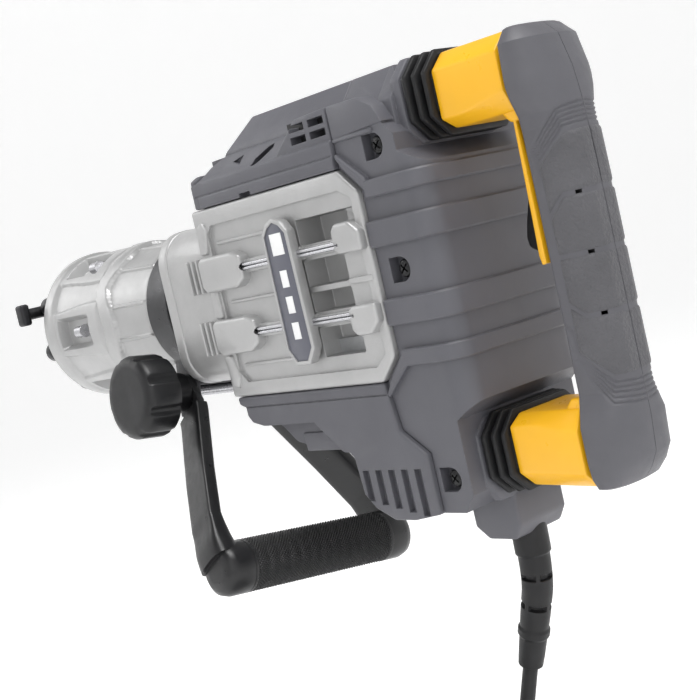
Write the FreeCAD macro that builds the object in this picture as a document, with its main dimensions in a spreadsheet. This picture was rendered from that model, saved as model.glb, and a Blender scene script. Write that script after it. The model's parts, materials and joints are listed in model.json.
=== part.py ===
"""Demolition hammer, built as a parametric document, in millimetres.

The origin is the centre of the nose's front face, on the barrel's axis. +X points out of the
nose towards the work, +Z points up and +Y points to the operator's left.
"""
import FreeCAD, Part
import Sketcher
import math
import os
import re

Vector = FreeCAD.Vector
Rotation = FreeCAD.Rotation
Placement = FreeCAD.Placement

# Driving dimensions. Each name becomes an alias in the spreadsheet.
DIMENSIONS = {
    # fits and gaps
    "run_gap": 0.05, "part_gap": 0.3, "seat_gap": 0.1,
    # nose, cap and cross pin
    "rim_radius": 61, "rim_end": -13, "barrel_radius": 57, "belt_front": -76, "belt_rear": -98,
    "belt_radius": 59.5, "waist_radius": 54.5, "taper_end": -148, "neck_radius": 50,
    "flange_front": -186, "flange_rear": -197, "pocket_front": -22, "pocket_rear": -60,
    "pocket_floor": 49.5, "pocket_half": 14, "pocket_count": 6, "nose_bolt_radius": 4.6,
    "nose_bolt_at": 54.4, "sleeve_rear": -62, "sleeve_radius": 26, "hex_half": 15.2,
    "guide_radius": 20, "guide_rear": -112, "cap_thick": 4, "lobe_radius": 8.5, "lobe_at": 49,
    "lobe_reach": 13, "lobe_count": 8, "lobe_first": -15, "boss_reach": 32, "boss_half": 26,
    "boss_top": 36, "pin_at": 18, "pin_height": 22.5, "pin_radius": 8.5, "pin_flat": 6.5,
    "pin_half": 27, "pin_neck": 4.8, "tee_near": 60, "tee_far": 68, "tee_half": 9, "tee_width": 6,
    # strap and side handle
    "strap_front": -152, "strap_rear": -178, "strap_inner": 50.3, "strap_outer": 53.3,
    "leg_inner": 30, "leg_outer": 33, "leg_bottom": -81, "swing_angle": 8.6, "tilt_angle": 35,
    "clamp_at": -165, "clamp_drop": -66, "clamp_radius": 5, "eye_inner": 33.3, "eye_outer": 38.3,
    "arm_half": 13, "grip_drop": -150, "grip_radius": 18.5, "grip_half": 84, "rod_radius": 7,
    "knob_front": 86, "knob_back": 56, "knob_radius": 29.5, "knob_lobe": 7, "knob_lobe_at": 24.5,
    "collar_radius": 14, "collar_foot": 38.8, "nut_far": -46,
    # gearbox case
    "case_half": 58, "front_half": 57, "front_corner": 25, "shoulder_at": -243, "case_rear": -415,
    "case_top": 66, "case_chamfer": 15, "cylinder_radius": 30, "cylinder_rear": -302,
    "cavity_front": -302, "cavity_rear": -412, "cavity_half": 42, "cavity_top": 54,
    "window_front": -349.5, "window_rear": -389, "window_depth": 14.5, "window_low": -45,
    "window_high": 44, "window_bar": 3, "boss_row": 22, "boss_face": 64, "boss_wide": 9,
    "front_boss_start": -243, "front_boss_end": -293, "rear_boss_start": -389,
    "rear_boss_end": -414, "tie_radius": 2.4, "tie_at": 61, "badge_front": -322,
    "badge_rear": -346, "badge_low": -42, "badge_high": 47, "badge_chamfer": 7,
    "badge_face": 66.2, "badge_back": 63.7,
    # plastic housings
    "shell_half": 58, "shell_gap": 0.4, "split_top": -400, "roof_top": 119, "roof_half": 27,
    "rear_wall": -453, "rear_corner": 30, "body_bottom": -150, "sump_bottom": -154,
    "motor_bore": 40.5, "motor_bore_low": 33, "gland_front": -414, "gland_half": 22,
    "gland_bottom": -177, "upper_boss_low": 68, "upper_boss_high": 120, "lower_boss_low": -149,
    "lower_boss_high": -96, "boss_half_width": 36, "screw_at": -434, "screw_seat": 50,
    "screw_head": 4.6, "screw_shank": 2.2, "screw_well": 7.5,
    # rear handle
    "bellows_rear": -471, "bellows_half": 38, "upper_arm_low": 72, "upper_arm_high": 117,
    "lower_arm_low": -142, "lower_arm_high": -97, "arm_width": 32, "arm_chamfer": 11,
    "arm_rear": -518.5, "strip_front": -510.5, "strip_rear": -515.5, "strip_half": 10,
    "core_front": -459, "core_half": 17, "core_tall": 11, "grip_front": -515.8,
    "grip_rear": -549, "shell_side": 21.5, "swell_rear": -460, "swell_corner": 18, "handle_top": 118, "handle_bottom": -146,
    "spring_outer": 8, "spring_inner": 6,
    "trigger_top": 38, "trigger_low": -7, "trigger_half": 6.5, "trigger_pivot_x": -520.5,
    "trigger_pivot_z": 32, "pivot_radius": 2, "button_at": 53, "button_radius": 4,
    # motor and gears
    "motor_at": -402, "gear_module": 1.25, "pinion_teeth": 9, "gear_teeth": 57,
    "shaft_radius": 4, "shaft_top": -34, "shaft_bottom": -146, "stator_top": -77,
    "stator_bottom": -119, "stator_radius": 39.5, "stator_inner": 26, "core_radius": 25,
    "fan_top": -57, "fan_bottom": -68, "fan_radius": 35, "fan_blades": 9,
    "commutator_top": -124, "commutator_bottom": -134, "commutator_radius": 15,
    "gear_top": -20, "gear_bottom": -32, "web_top": -13, "web_radius": 31, "crank_throw": 24,
    "crank_pin_radius": 7, "crank_pin_top": -6.8, "crank_shaft_radius": 9, "crank_shaft_end": -52,
    "plate_top": -37, "plate_bottom": -53, "motor_bearing": 11.5, "crank_bearing": 18,
    # hammer mechanism
    "rod_length": 80, "rod_half": 6, "big_end": 14, "small_end": 10.5, "wrist_radius": 6,
    "bore_radius": 24, "piston_front": -234, "piston_rear": -274, "piston_wall": 18,
    "striker_front": -132, "striker_rear": -182, "striker_nose": -118, "striker_stem": 15,
    "bolt_front": -66, "bolt_rear": -104, "bolt_nose": -56, "bolt_stem": 12, "seal_round": 1.5,
    "seal_at": 22.4,
    # mains cord
    "cord_diameter": 10, "relief_top_x": -438, "coil_turn_radius": 60, "coil_half_band": 20,
    "coil_tall": 30, "floor_level": -380, "plug_pin_radius": 2.4, "plug_pin_length": 19,
    "plug_pin_gap": 19,
}

# Route of the free cord from the relief's end to the coil, chosen by hand.
CORD_ROUTE = [
    (-414.0, 0.0, -266.6), (-405.3, 0.5, -289.2), (-399.0, 4.0, -314.0), (-398.0, 13.0, -337.0),
    (-399.0, 29.0, -356.0), (-399.0, 50.0, -368.0), (-396.0, 72.0, -373.6),
]
# Centre line of the strain relief, from the gland to its mouth.
RELIEF_ROUTE = [(-438.0, 0.0, -177.3), (-438.0, 0.0, -205.0), (-428.4, 0.0, -230.6)]

doc = FreeCAD.newDocument("DemolitionHammer")
sheet = doc.addObject("Spreadsheet::Sheet", "Dims")
subparts = []

TURN = {"x": Rotation(Vector(0, 1, 0), 90), "y": Rotation(Vector(1, 0, 0), -90), "z": Rotation()}


# ---------------------------------------------------------------- helpers
def fill_sheet():
    """Write every driving dimension to the sheet, as text, with its alias."""
    for row, (alias, value) in enumerate(DIMENSIONS.items(), 1):
        sheet.set(f"A{row}", alias)
        sheet.set(f"B{row}", str(value))
        sheet.setAlias(f"B{row}", alias)
    doc.recompute()


def num(expression):
    """The value of an expression written with the sheet's aliases."""
    return float(sheet.evalExpression(str(expression)))


def linked(expression):
    """The same expression as another object has to write it."""
    return re.sub(r"\b([a-z]+(?:_[a-z0-9]+)+)\b", r"Dims.\1", str(expression))


def bind(item, prop, expression):
    item.setExpression(prop, linked(expression))


def place(item, x=0, y=0, z=0, rotation=None):
    """Put an object at three expressions."""
    item.Placement = Placement(Vector(num(x), num(y), num(z)), rotation or Rotation())
    for axis, expression in zip("xyz", (x, y, z)):
        bind(item, f"Placement.Base.{axis}", expression)
    return item


def block(x, y, z):
    """A box between two expressions on each axis."""
    item = doc.addObject("Part::Box", "Block")
    for prop, (low, high) in zip(("Length", "Width", "Height"), (x, y, z)):
        bind(item, prop, f"({high}) - ({low})")
    return place(item, x[0], y[0], z[0])


def start_of(axis, low, across):
    """The corner point of a round bar along an axis, crossing the other two axes at across."""
    first, second = across
    return {"x": (low, first, second), "y": (first, low, second), "z": (first, second, low)}[axis]


def bar(axis, radius, span, across=(0, 0)):
    """A cylinder along an axis."""
    item = doc.addObject("Part::Cylinder", "Bar")
    bind(item, "Radius", radius)
    bind(item, "Height", f"({span[1]}) - ({span[0]})")
    return place(item, *start_of(axis, span[0], across), rotation=TURN[axis])


def cone(axis, low_radius, high_radius, span, across=(0, 0)):
    """A cone along an axis."""
    item = doc.addObject("Part::Cone", "Cone")
    bind(item, "Radius1", low_radius)
    bind(item, "Radius2", high_radius)
    bind(item, "Height", f"({span[1]}) - ({span[0]})")
    return place(item, *start_of(axis, span[0], across), rotation=TURN[axis])


def torus(axis, radius, section, at):
    """A ring round an axis through the point at."""
    item = doc.addObject("Part::Torus", "Torus")
    bind(item, "Radius1", radius)
    bind(item, "Radius2", section)
    return place(item, *at, rotation=TURN[axis])


def hexagon(half_flats, span):
    """A hexagonal bar along X with flats on top and bottom."""
    item = doc.addObject("Part::Prism", "Hexagon")
    bind(item, "Circumradius", f"({half_flats}) / cos(30 deg)")
    bind(item, "Height", f"({span[1]}) - ({span[0]})")
    return place(item, span[0], 0, 0, TURN["x"].multiply(Rotation(Vector(0, 0, 1), 90)))


def join(*items):
    if len(items) == 1:
        return items[0]
    item = doc.addObject("Part::MultiFuse", "Join")
    item.Shapes = list(items)
    item.Refine = True
    return item


def cut(base, *tools):
    item = doc.addObject("Part::Cut", "Cut")
    item.Base = base
    item.Tool = join(*tools)
    item.Refine = True
    return item


def overlap(*items):
    item = doc.addObject("Part::MultiCommon", "Common")
    item.Shapes = list(items)
    return item


def mirror(source, normal=(0, 1, 0)):
    item = doc.addObject("Part::Mirroring", "Mirror")
    item.Source = source
    item.Normal = Vector(*normal)
    return item


def both_sides(source):
    """A piece and its mirror image across the hammer's middle plane."""
    return join(source, mirror(source))


def origin_plane(body, role):
    return next(feature for feature in body.Origin.OriginFeatures if feature.Role == role)


def draw_outline(body, plane, points):
    """A closed sketch on one of the body's origin planes, each corner bound to its expressions."""
    sketch = body.newObject("Sketcher::SketchObject", "Outline")
    sketch.AttachmentSupport = [(origin_plane(body, plane + "_Plane"), "")]
    sketch.MapMode = "FlatFace"
    corners = [Vector(num(x), num(y), 0) for x, y in points]
    count = len(corners)
    for index, corner in enumerate(corners):
        sketch.addGeometry(Part.LineSegment(corner, corners[(index + 1) % count]), False)
    for index in range(count):
        sketch.addConstraint(Sketcher.Constraint("Coincident", index, 2, (index + 1) % count, 1))
    for index, (point, corner) in enumerate(zip(points, corners)):
        for kind, expression, value in zip(("DistanceX", "DistanceY"), point, corner):
            which = sketch.addConstraint(Sketcher.Constraint(kind, -1, 1, index, 1, value))
            if isinstance(expression, str):
                sketch.setExpression(f"Constraints[{which}]", linked(expression))
    return sketch


def prism(plane, points, span):
    """A body padded from an outline, between two expressions along the plane's normal."""
    body = doc.addObject("PartDesign::Body", "Prism")
    sketch = draw_outline(body, plane, points)
    start = f"-({span[1]})" if plane == "XZ" else span[0]
    bind(sketch, "AttachmentOffset.Base.z", start)
    pad = body.newObject("PartDesign::Pad", "Pad")
    pad.Profile = sketch
    bind(pad, "Length", f"({span[1]}) - ({span[0]})")
    return body


def lathe(points, axis="H_Axis", x=0, y=0, z=0):
    """A body turned round the X axis (H_Axis) or the Z axis (V_Axis), then moved."""
    body = doc.addObject("PartDesign::Body", "Turned")
    sketch = draw_outline(body, "XZ", points)
    turned = body.newObject("PartDesign::Revolution", "Revolution")
    turned.Profile = sketch
    turned.ReferenceAxis = (sketch, [axis])
    turned.Angle = 360
    return place(body, x, y, z)


def mirrored_outline(points):
    """An outline that is the same on both sides of the second axis, from its right half."""
    return list(points) + [(f"-({x})", y) for x, y in reversed(points)]


def subpart(name, item):
    item.Label = name
    subparts.append(item)
    return item


def in_handle_frame(item, tilted=True):
    """Swing a piece of the side handle round the barrel, and tilt it on the clamp bolt."""
    swing = Rotation(Vector(1, 0, 0), num("swing_angle"))
    tilt = Rotation(Vector(0, 1, 0), num("tilt_angle")) if tilted else Rotation()
    if tilted:
        drop = Vector(num("clamp_at"), 0, num("clamp_drop"))
    else:
        drop = Vector(0, 0, 0)
    item.Placement = Placement(swing.multVec(drop), swing.multiply(tilt))
    return item


# ---------------------------------------------------------------- nose
def make_nose():
    shape = lathe([(0, 56), (-4, 60), ("rim_end", "rim_radius"), (-17, 58.5),
                   ("belt_front", "barrel_radius"), ("belt_front - 5", "belt_radius"),
                   ("belt_rear + 4", "belt_radius - 1"), ("belt_rear - 4", "waist_radius"),
                   ("taper_end", "waist_radius - 3"), ("taper_end - 2", "neck_radius"),
                   ("flange_front", "neck_radius"),
                   ("flange_front", "cylinder_radius + seat_gap"),
                   ("guide_rear", "cylinder_radius + seat_gap"),
                   ("guide_rear", "guide_radius + run_gap"),
                   ("sleeve_rear", "guide_radius + run_gap"),
                   ("sleeve_rear", "sleeve_radius + seat_gap"), (0, "sleeve_radius + seat_gap")])
    pockets = []
    for step in range(int(num("pocket_count"))):
        pocket = block(("pocket_rear", "pocket_front"), ("-pocket_half", "pocket_half"),
                       ("pocket_floor", "rim_radius + 6"))
        pocket.Placement = Placement(Vector(), Rotation(Vector(1, 0, 0), step * 60 - 90)).multiply(
            pocket.Placement)
        for axis in "xyz":
            pocket.setExpression(f"Placement.Base.{axis}", None)
        pockets.append(pocket)
    subpart("nose_housing", cut(shape, *pockets))

    bolts = []
    for step in range(int(num("pocket_count"))):
        angle = f"{step * 60} deg"
        centre = (f"nose_bolt_at * cos({angle})", f"nose_bolt_at * sin({angle})")
        bolts.append(bar("x", "nose_bolt_radius", ("pocket_rear + 1", "pocket_rear + 12"), centre))
    subpart("nose_bolts", join(*bolts))
    sleeve = bar("x", "sleeve_radius", ("sleeve_rear + seat_gap", "-seat_gap"))
    subpart("tool_sleeve", cut(sleeve, hexagon("hex_half", ("sleeve_rear - 1", 1))))


def make_nose_cap():
    lobes = []
    count = int(num("lobe_count"))
    for step in range(count):
        angle = f"({step} * 360 / {count} + lobe_first) * 1 deg"
        centre = (f"lobe_at * cos({angle})", f"lobe_at * sin({angle})")
        lobes.append(bar("x", "lobe_radius", ("seat_gap", "lobe_reach"), centre))
    disc = bar("x", 55, ("seat_gap", "cap_thick"))
    boss = block(("seat_gap", "boss_reach"), ("-boss_half", "boss_half"), ("-boss_half", "boss_top"))
    socket = hexagon("hex_half", ("-1", "boss_reach + 1"))
    pin_hole = bar("y", "pin_radius + run_gap", ("-boss_half - 1", "boss_half + 1"),
                   ("pin_at", "pin_height"))
    subpart("nose_cap", cut(join(disc, boss, *lobes), socket, pin_hole))


def make_cross_pin():
    across = ("pin_at", "pin_height")
    body = bar("y", "pin_radius", ("-pin_half", "pin_half"), across)
    flat = block(("pin_at - 12", "pin_at + 12"), ("-hex_half - 5", "hex_half + 5"),
                 ("pin_height + pin_flat", "pin_height + 12"))
    neck = bar("y", "pin_neck", ("pin_half", "tee_near"), across)
    head = block(("pin_at - tee_width", "pin_at + tee_width"), ("tee_near", "tee_far"),
                 ("pin_height - tee_half", "pin_height + tee_half"))
    keeper = bar("y", "pin_radius + 2.5", ("-pin_half - 4", "-pin_half"), across)
    subpart("cross_pin", join(cut(body, flat), neck, head, keeper))


# ---------------------------------------------------------------- side handle
def make_strap():
    ring = cut(bar("x", "strap_outer", ("strap_rear", "strap_front")),
               bar("x", "strap_inner", ("strap_rear - 1", "strap_front + 1")),
               block(("strap_rear - 1", "strap_front + 1"), ("-leg_inner", "leg_inner"),
                     ("-strap_outer - 1", 0)))
    leg = block(("strap_rear", "strap_front"), ("leg_inner", "leg_outer"), ("leg_bottom", -40.4))
    hole = bar("y", "clamp_radius + part_gap", ("-leg_outer - 1", "leg_outer + 1"),
               ("clamp_at", "clamp_drop"))
    strap = subpart("handle_strap", cut(join(ring, leg, mirror(leg)), hole))
    in_handle_frame(strap, tilted=False)

    saddle = cut(block(("strap_rear + 1", "strap_front - 1"),
                       ("-leg_inner + part_gap", "leg_inner - part_gap"), ("leg_bottom - 3", -42)),
                 bar("x", "strap_inner + part_gap", ("strap_rear - 1", "strap_front + 1")),
                 bar("y", "clamp_radius + part_gap", ("-leg_outer - 1", "leg_outer + 1"),
                     ("clamp_at", "clamp_drop")))
    in_handle_frame(subpart("clamp_block", saddle), tilted=False)

    bolt = join(bar("y", "clamp_radius", ("eye_outer - 78", "knob_back + 12"),
                    ("clamp_at", "clamp_drop")),
                bar("y", "clamp_radius + 4.5", ("nut_far", "-eye_outer - part_gap"),
                    ("clamp_at", "clamp_drop")))
    in_handle_frame(subpart("clamp_bolt", bolt), tilted=False)


def make_knob():
    """A lobed knob and its conical collar, bored for the clamp bolt."""
    across = ("clamp_at", "clamp_drop")
    lobes = []
    for step in range(8):
        angle = f"{step * 45} deg"
        centre = (f"clamp_at + knob_lobe_at * cos({angle})",
                  f"clamp_drop + knob_lobe_at * sin({angle})")
        lobes.append(bar("y", "knob_lobe", ("knob_back", "knob_front - 3"), centre))
    disc = bar("y", "knob_radius - 1.5", ("knob_back", "knob_front - 3"), across)
    face = cone("y", "knob_radius - 1.5", "knob_radius - 5", ("knob_front - 3", "knob_front"), across)
    collar = cone("y", "collar_radius - 3", "collar_radius + 3", ("collar_foot", "knob_back"), across)
    bore = bar("y", "clamp_radius + run_gap", ("collar_foot - 1", "knob_back + 13"), across)
    knob = subpart("clamp_knob", cut(join(disc, face, collar, *lobes), bore))
    in_handle_frame(knob, tilted=False)


def make_bracket():
    """The tilting bow: flat bars with eyes on the clamp bolt, their sleeves, and the hand grip."""
    wide = ("-arm_half", "arm_half")
    strip = [("eye_inner", 0), ("eye_inner", -17), ("eye_inner + 24", -74),
             ("eye_inner + 37", -112), ("eye_inner + 42", "grip_drop"),
             ("eye_inner + 47", "grip_drop"), ("eye_inner + 42.5", -111),
             ("eye_inner + 29.5", -73), ("eye_outer", -15.5), ("eye_outer", 0)]
    near = join(prism("YZ", strip, wide), bar("y", "arm_half", ("eye_inner", "eye_outer"), (0, 0)))
    near = cut(near, bar("y", "clamp_radius + run_gap", ("eye_inner - 1", "eye_outer + 1"), (0, 0)))
    rod = bar("y", "rod_radius", ("-eye_inner - 43", "eye_inner + 43"), (0, "grip_drop"))
    in_handle_frame(subpart("handle_bow", join(near, mirror(near), rod)))

    outside = [("eye_inner + 0.6", -22), ("eye_inner + 21", -75), ("eye_inner + 33.5", -112),
               ("eye_inner + 38", -129), ("eye_outer + 44", -129), ("eye_outer + 39", -108),
               ("eye_outer + 29.5", -74), ("eye_outer + 4.5", -14)]
    inside = [("eye_inner - 1", -12), ("eye_inner - part_gap", -17),
              ("eye_inner + 24 - part_gap", -74), ("eye_inner + 37 - part_gap", -112),
              ("eye_inner + 41 - part_gap", -142), ("eye_inner + 46 + part_gap", -142),
              ("eye_inner + 42.5 + part_gap", -111), ("eye_inner + 29.5 + part_gap", -73),
              ("eye_outer + part_gap", -15.5), ("eye_outer + part_gap", -12)]
    sleeve = cut(prism("YZ", outside, ("-arm_half - 2.5", "arm_half + 2.5")),
                 prism("YZ", inside, ("-arm_half - part_gap", "arm_half + part_gap")))
    in_handle_frame(subpart("arm_sleeves", join(sleeve, mirror(sleeve))))

    grip = join(bar("y", "grip_radius", ("-grip_half + 6", "grip_half - 6"), (0, "grip_drop")),
                cone("y", "grip_radius", "grip_radius - 6", ("grip_half - 6", "grip_half"),
                     (0, "grip_drop")),
                cone("y", "grip_radius - 6", "grip_radius", ("-grip_half", "-grip_half + 6"),
                     (0, "grip_drop")))
    slot_near = block(("-arm_half - part_gap", "arm_half + part_gap"),
                      ("eye_inner + 39", "eye_inner + 47 + part_gap"),
                      ("grip_drop - 8", "grip_drop + grip_radius + 1"))
    hollow = bar("y", "rod_radius + part_gap", ("-eye_inner - 44", "eye_inner + 44"),
                 (0, "grip_drop"))
    in_handle_frame(subpart("hand_grip", cut(grip, slot_near, mirror(slot_near), hollow)))


# ---------------------------------------------------------------- gearbox
def rounded_bar(half, corner, span):
    """A square bar along X with round corners."""
    inner = f"{half} - {corner}"
    posts = [bar("x", corner, span, (f"{a}({inner})", f"{b}({inner})"))
             for a in ("", "-") for b in ("", "-")]
    flat = block(span, (f"-{half}", half), (f"-({inner})", inner))
    tall = block(span, (f"-({inner})", inner), (f"-{half}", half))
    return join(flat, tall, *posts)


def window_cells():
    """Four recesses down each side, with bars between them; the top one goes right through."""
    edges = ["window_high", "boss_row", 0, "-boss_row", "window_low"]
    cells = []
    for index, (high, low) in enumerate(zip(edges, edges[1:])):
        top = f"({high}) - window_bar" if index else high
        bottom = f"({low}) + window_bar" if index < 3 else low
        floor = "cavity_half - 1" if index == 0 else "case_half - window_depth"
        cells.append(block(("window_rear", "window_front"), (floor, "case_half + 1"),
                           (bottom, top)))
    return cells


def make_gearbox():
    flange = cut(rounded_bar("front_half", "front_corner",
                             ("flange_rear + seat_gap", "flange_front - seat_gap")),
                 bar("x", "cylinder_radius + seat_gap", ("flange_rear - 1", "flange_front + 1")))
    subpart("front_flange", flange)

    wide = prism("XZ", [("shoulder_at", "case_top"), ("shoulder_at", "-case_top"),
                        ("case_rear + case_chamfer", "-case_top"),
                        ("case_rear", "-case_top + case_chamfer"),
                        ("case_rear", "case_top - case_chamfer"),
                        ("case_rear + case_chamfer", "case_top")], ("-case_half", "case_half"))
    narrow = rounded_bar("front_half", "front_corner", ("shoulder_at - 2", "flange_rear"))
    bosses = []
    for row in ("boss_row", "-boss_row"):
        for low, high in (("front_boss_end", "front_boss_start"), ("rear_boss_end", "rear_boss_start")):
            bosses.append(block((low, high), ("case_half - 4", "boss_face"),
                                (f"{row} - boss_wide", f"{row} + boss_wide")))
    cavity = block(("cavity_rear", "cavity_front"), ("-cavity_half", "cavity_half"),
                   ("-cavity_top", "cavity_top"))
    bore = bar("x", "cylinder_radius + seat_gap", ("cavity_front - 1", "flange_rear + 1"))
    motor_way = bar("z", "motor_bore", ("-case_top - 1", "plate_top"), ("motor_at", 0))
    cells = window_cells()
    case = cut(join(wide, narrow, *bosses, *[mirror(boss) for boss in bosses]),
               cavity, bore, motor_way, *cells, *[mirror(cell) for cell in cells])
    subpart("gearbox_case", case)

    ties = [bar("x", "tie_radius", ("rear_boss_start + seat_gap", "front_boss_end - seat_gap"),
                ("tie_at", row)) for row in ("boss_row", "-boss_row")]
    subpart("tie_rods", join(*ties, *[mirror(tie) for tie in ties]))

    badge = prism("XZ", [("badge_front", "badge_high - badge_chamfer"),
                         ("badge_front", "badge_low + badge_chamfer"),
                         ("badge_front - badge_chamfer", "badge_low"),
                         ("badge_rear + badge_chamfer", "badge_low"),
                         ("badge_rear", "badge_low + badge_chamfer"),
                         ("badge_rear", "badge_high - badge_chamfer"),
                         ("badge_rear + badge_chamfer", "badge_high"),
                         ("badge_front - badge_chamfer", "badge_high")],
                  ("badge_back", "badge_face"))
    feet = [block(("badge_rear + 7", "badge_front - 7"), ("case_half + seat_gap", "badge_back + 1"),
                  (low, high)) for low, high in ((30, 40), (-4, 8), (-35, -28))]
    plate = join(badge, *feet)
    subpart("badge_plates", join(plate, mirror(plate)))


# ---------------------------------------------------------------- plastic housings
ROOF = [("shell_half", 66.4), ("shell_half", 84), ("shell_half - 3", 86), ("shell_half - 5", 90),
        ("shell_half - 12", 97), ("shell_half - 15", 101), ("roof_half", "roof_top")]


def screw_wells():
    """Wells for the case screws, and where their screws go: (x, z)."""
    places = [("screw_at", 74), ("screw_at", 0), ("screw_at - 3", -129)]
    wells = []
    for x, z in places:
        wells.append(bar("y", "screw_well", ("screw_seat", "shell_half + 2"), (x, z)))
        wells.append(bar("y", "screw_shank + seat_gap", ("screw_seat - 10", "screw_seat"), (x, z)))
    return places, wells


def make_top_shell():
    roof = prism("YZ", mirrored_outline(ROOF), ("split_top + shell_gap", "shoulder_at - 5"))
    nose = prism("XZ", [(-240, 84), (-256, 86), (-262, 97), (-270, 108), (-291, 119.5),
                        (-291, 125), (-240, 125)], (-70, 70))
    hollow = [block((-396, front), (f"-{half}", half), (low, high))
              for front, half, low, high in ((-256, 53, 66, 81), (-272, 40, 80, 95),
                                             (-292, 24, 94, 114))]
    vents = [block((x, x + 18), (38, 60), (z, z + 4.5)) for x in (-402, -381) for z in (87.5, 93.5)]
    shell = cut(roof, nose, *hollow, *vents, *[mirror(vent) for vent in vents])
    subpart("top_shell", shell)
    module = block((-380, -300), (-30, 30), (68, 90))
    subpart("speed_module", module)


def make_bottom_shell():
    front = "case_rear + case_chamfer + part_gap"
    outline = [("shoulder_at - 3", "-case_top - shell_gap"), (front, "-case_top - shell_gap"),
               (-403.9, -97.2), (-423.9, -112.2), (-423.9, "body_bottom"), (-400, "sump_bottom"),
               (-380, "sump_bottom"), (-366, -146), (-358, -137), (-356, -112), (-352, -109),
               (-297, -109), (-299, -104), (-290, -102), (-277, -89), (-255, -85), (-251, -74),
               ("shoulder_at - 3", -72)]
    shell = prism("XZ", outline, ("-shell_half", "shell_half"))
    step = block((-357, -240), (48, 70), (-120, -85.2))
    motor_room = bar("z", "motor_bore", (-134, -60), ("motor_at", 0))
    low_room = bar("z", "motor_bore_low", (-147, -133), ("motor_at", 0))
    hollow = block((-345, -262), (-42, 42), (-84, -60))
    screw_hole = bar("z", 2.4, (-112, -96), (-312, 0))
    slots = [block((x - 1, x + 1), (55, 60), (-146, -121)) for x in (-364, -376, -388, -400, -412)]
    shell = cut(shell, step, mirror(step), motor_room, low_room, hollow, screw_hole, *slots,
                *[mirror(slot) for slot in slots])
    subpart("bottom_shell", shell)
    screw = join(bar("z", 4.6, (-112.5, -109.3), (-312, 0)), bar("z", 2.3, (-110, -97), (-312, 0)))
    subpart("base_screw", screw)


def make_rear_housing():
    edge = "case_top + shell_gap"
    outline = [("split_top", edge), ("split_top", 86), (-446, 86), ("rear_wall", 78),
               ("rear_wall", "body_bottom + 10"), ("rear_wall + 10", "body_bottom"),
               (-424.3, "body_bottom"), (-424.3, -111.9), (-404.3, -96.9),
               ("case_rear + case_chamfer", f"-({edge})"),
               ("case_rear - shell_gap", "-case_top + case_chamfer - 0.2"),
               ("case_rear - shell_gap", "case_top - case_chamfer + 0.2")]
    side = prism("XZ", outline, ("-shell_half", "shell_half"))
    inner = "shell_half - rear_corner"
    plan = join(block(("rear_wall + rear_corner", -395), ("-shell_half", "shell_half"), (-160, 90)),
                block(("rear_wall", -395), (f"-({inner})", inner), (-160, 90)),
                bar("z", "rear_corner", (-160, 90), ("rear_wall + rear_corner", inner)),
                bar("z", "rear_corner", (-160, 90), ("rear_wall + rear_corner", f"-({inner})")))
    walls = overlap(side, plan)
    curve = "swell_rear + swell_corner"
    flank = "shell_half - swell_corner"
    swell_plan = join(block((curve, -440), ("-shell_half", "shell_half"), (-160, 90)),
                      block(("swell_rear", -440), (f"-({flank})", flank), (-160, 90)),
                      bar("z", "swell_corner", (-160, 90), (curve, flank)),
                      bar("z", "swell_corner", (-160, 90), (curve, f"-({flank})")))
    swell = overlap(prism("XZ", [(-440, 66), ("swell_rear + 6", 66), ("swell_rear", 58),
                                 ("swell_rear", -84), ("swell_rear + 6", -92), (-440, -92)],
                          ("-shell_half", "shell_half")), swell_plan)
    roof = prism("YZ", mirrored_outline([("shell_half - 1", 84)] + ROOF[1:]), (-438, "split_top"))
    upper = prism("YZ", mirrored_outline([("boss_half_width - 9", "upper_boss_low"),
                                          ("boss_half_width", "upper_boss_low + 9"),
                                          ("boss_half_width", "upper_boss_high - 9"),
                                          ("boss_half_width - 9", "upper_boss_high")]),
                  ("rear_wall", -430))
    lower = prism("YZ", mirrored_outline([("boss_half_width - 9", "lower_boss_low"),
                                          ("boss_half_width + 2", "lower_boss_low + 9"),
                                          ("boss_half_width + 2", "lower_boss_high - 9"),
                                          ("boss_half_width - 9", "lower_boss_high")]),
                  ("rear_wall", -430))
    gland = prism("XZ", [("gland_front", "body_bottom + 1"), ("rear_wall", "body_bottom + 1"),
                         ("rear_wall", -168), ("rear_wall + 6", "gland_bottom"),
                         (-424, "gland_bottom"), ("gland_front", -170)],
                  ("-gland_half", "gland_half"))
    gland = cut(gland, block((-424.3, "gland_front + 1"), (-60, 60), ("body_bottom - 2.2", -140)))
    motor_room = bar("z", "motor_bore", (-134, "plate_top"), ("motor_at", 0))
    low_room = bar("z", "motor_bore_low", (-147, -133), ("motor_at", 0))
    store = block((-447, -410), (-36, 36), (-30, 62))
    shelf = block((-428, -399), (-40, 40), (66, 82))
    spring_wells = [bar("x", "spring_outer + 1", ("rear_wall - 1", high), (0, z))
                    for high, z in ((-441, 94.5), (-444.2, -119.5))]
    relief_seat = bar("z", 9.1, (-180, -160), ("relief_top_x", 0))
    places, wells = screw_wells()
    housing = cut(join(walls, swell, roof, upper, lower, gland), motor_room, low_room, store, shelf,
                  relief_seat, *spring_wells, *wells, *[mirror(well) for well in wells])
    subpart("rear_housing", housing)

    screws = []
    for x, z in places:
        screws.append(bar("y", "screw_head", ("screw_seat", "screw_seat + 3.4"), (x, z)))
        screws.append(bar("y", "screw_shank", ("screw_seat - 9", "screw_seat"), (x, z)))
    pair = join(*screws)
    subpart("housing_screws", join(pair, mirror(pair)))
    subpart("capacitor", bar("z", 12, (4, 50), (-431, 0)))


# ---------------------------------------------------------------- rear handle
def octagon(half, low, high, chamfer):
    return mirrored_outline([(f"({half}) - ({chamfer})", low), (half, f"({low}) + ({chamfer})"),
                             (half, f"({high}) - ({chamfer})"),
                             (f"({half}) - ({chamfer})", high)])


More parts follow.
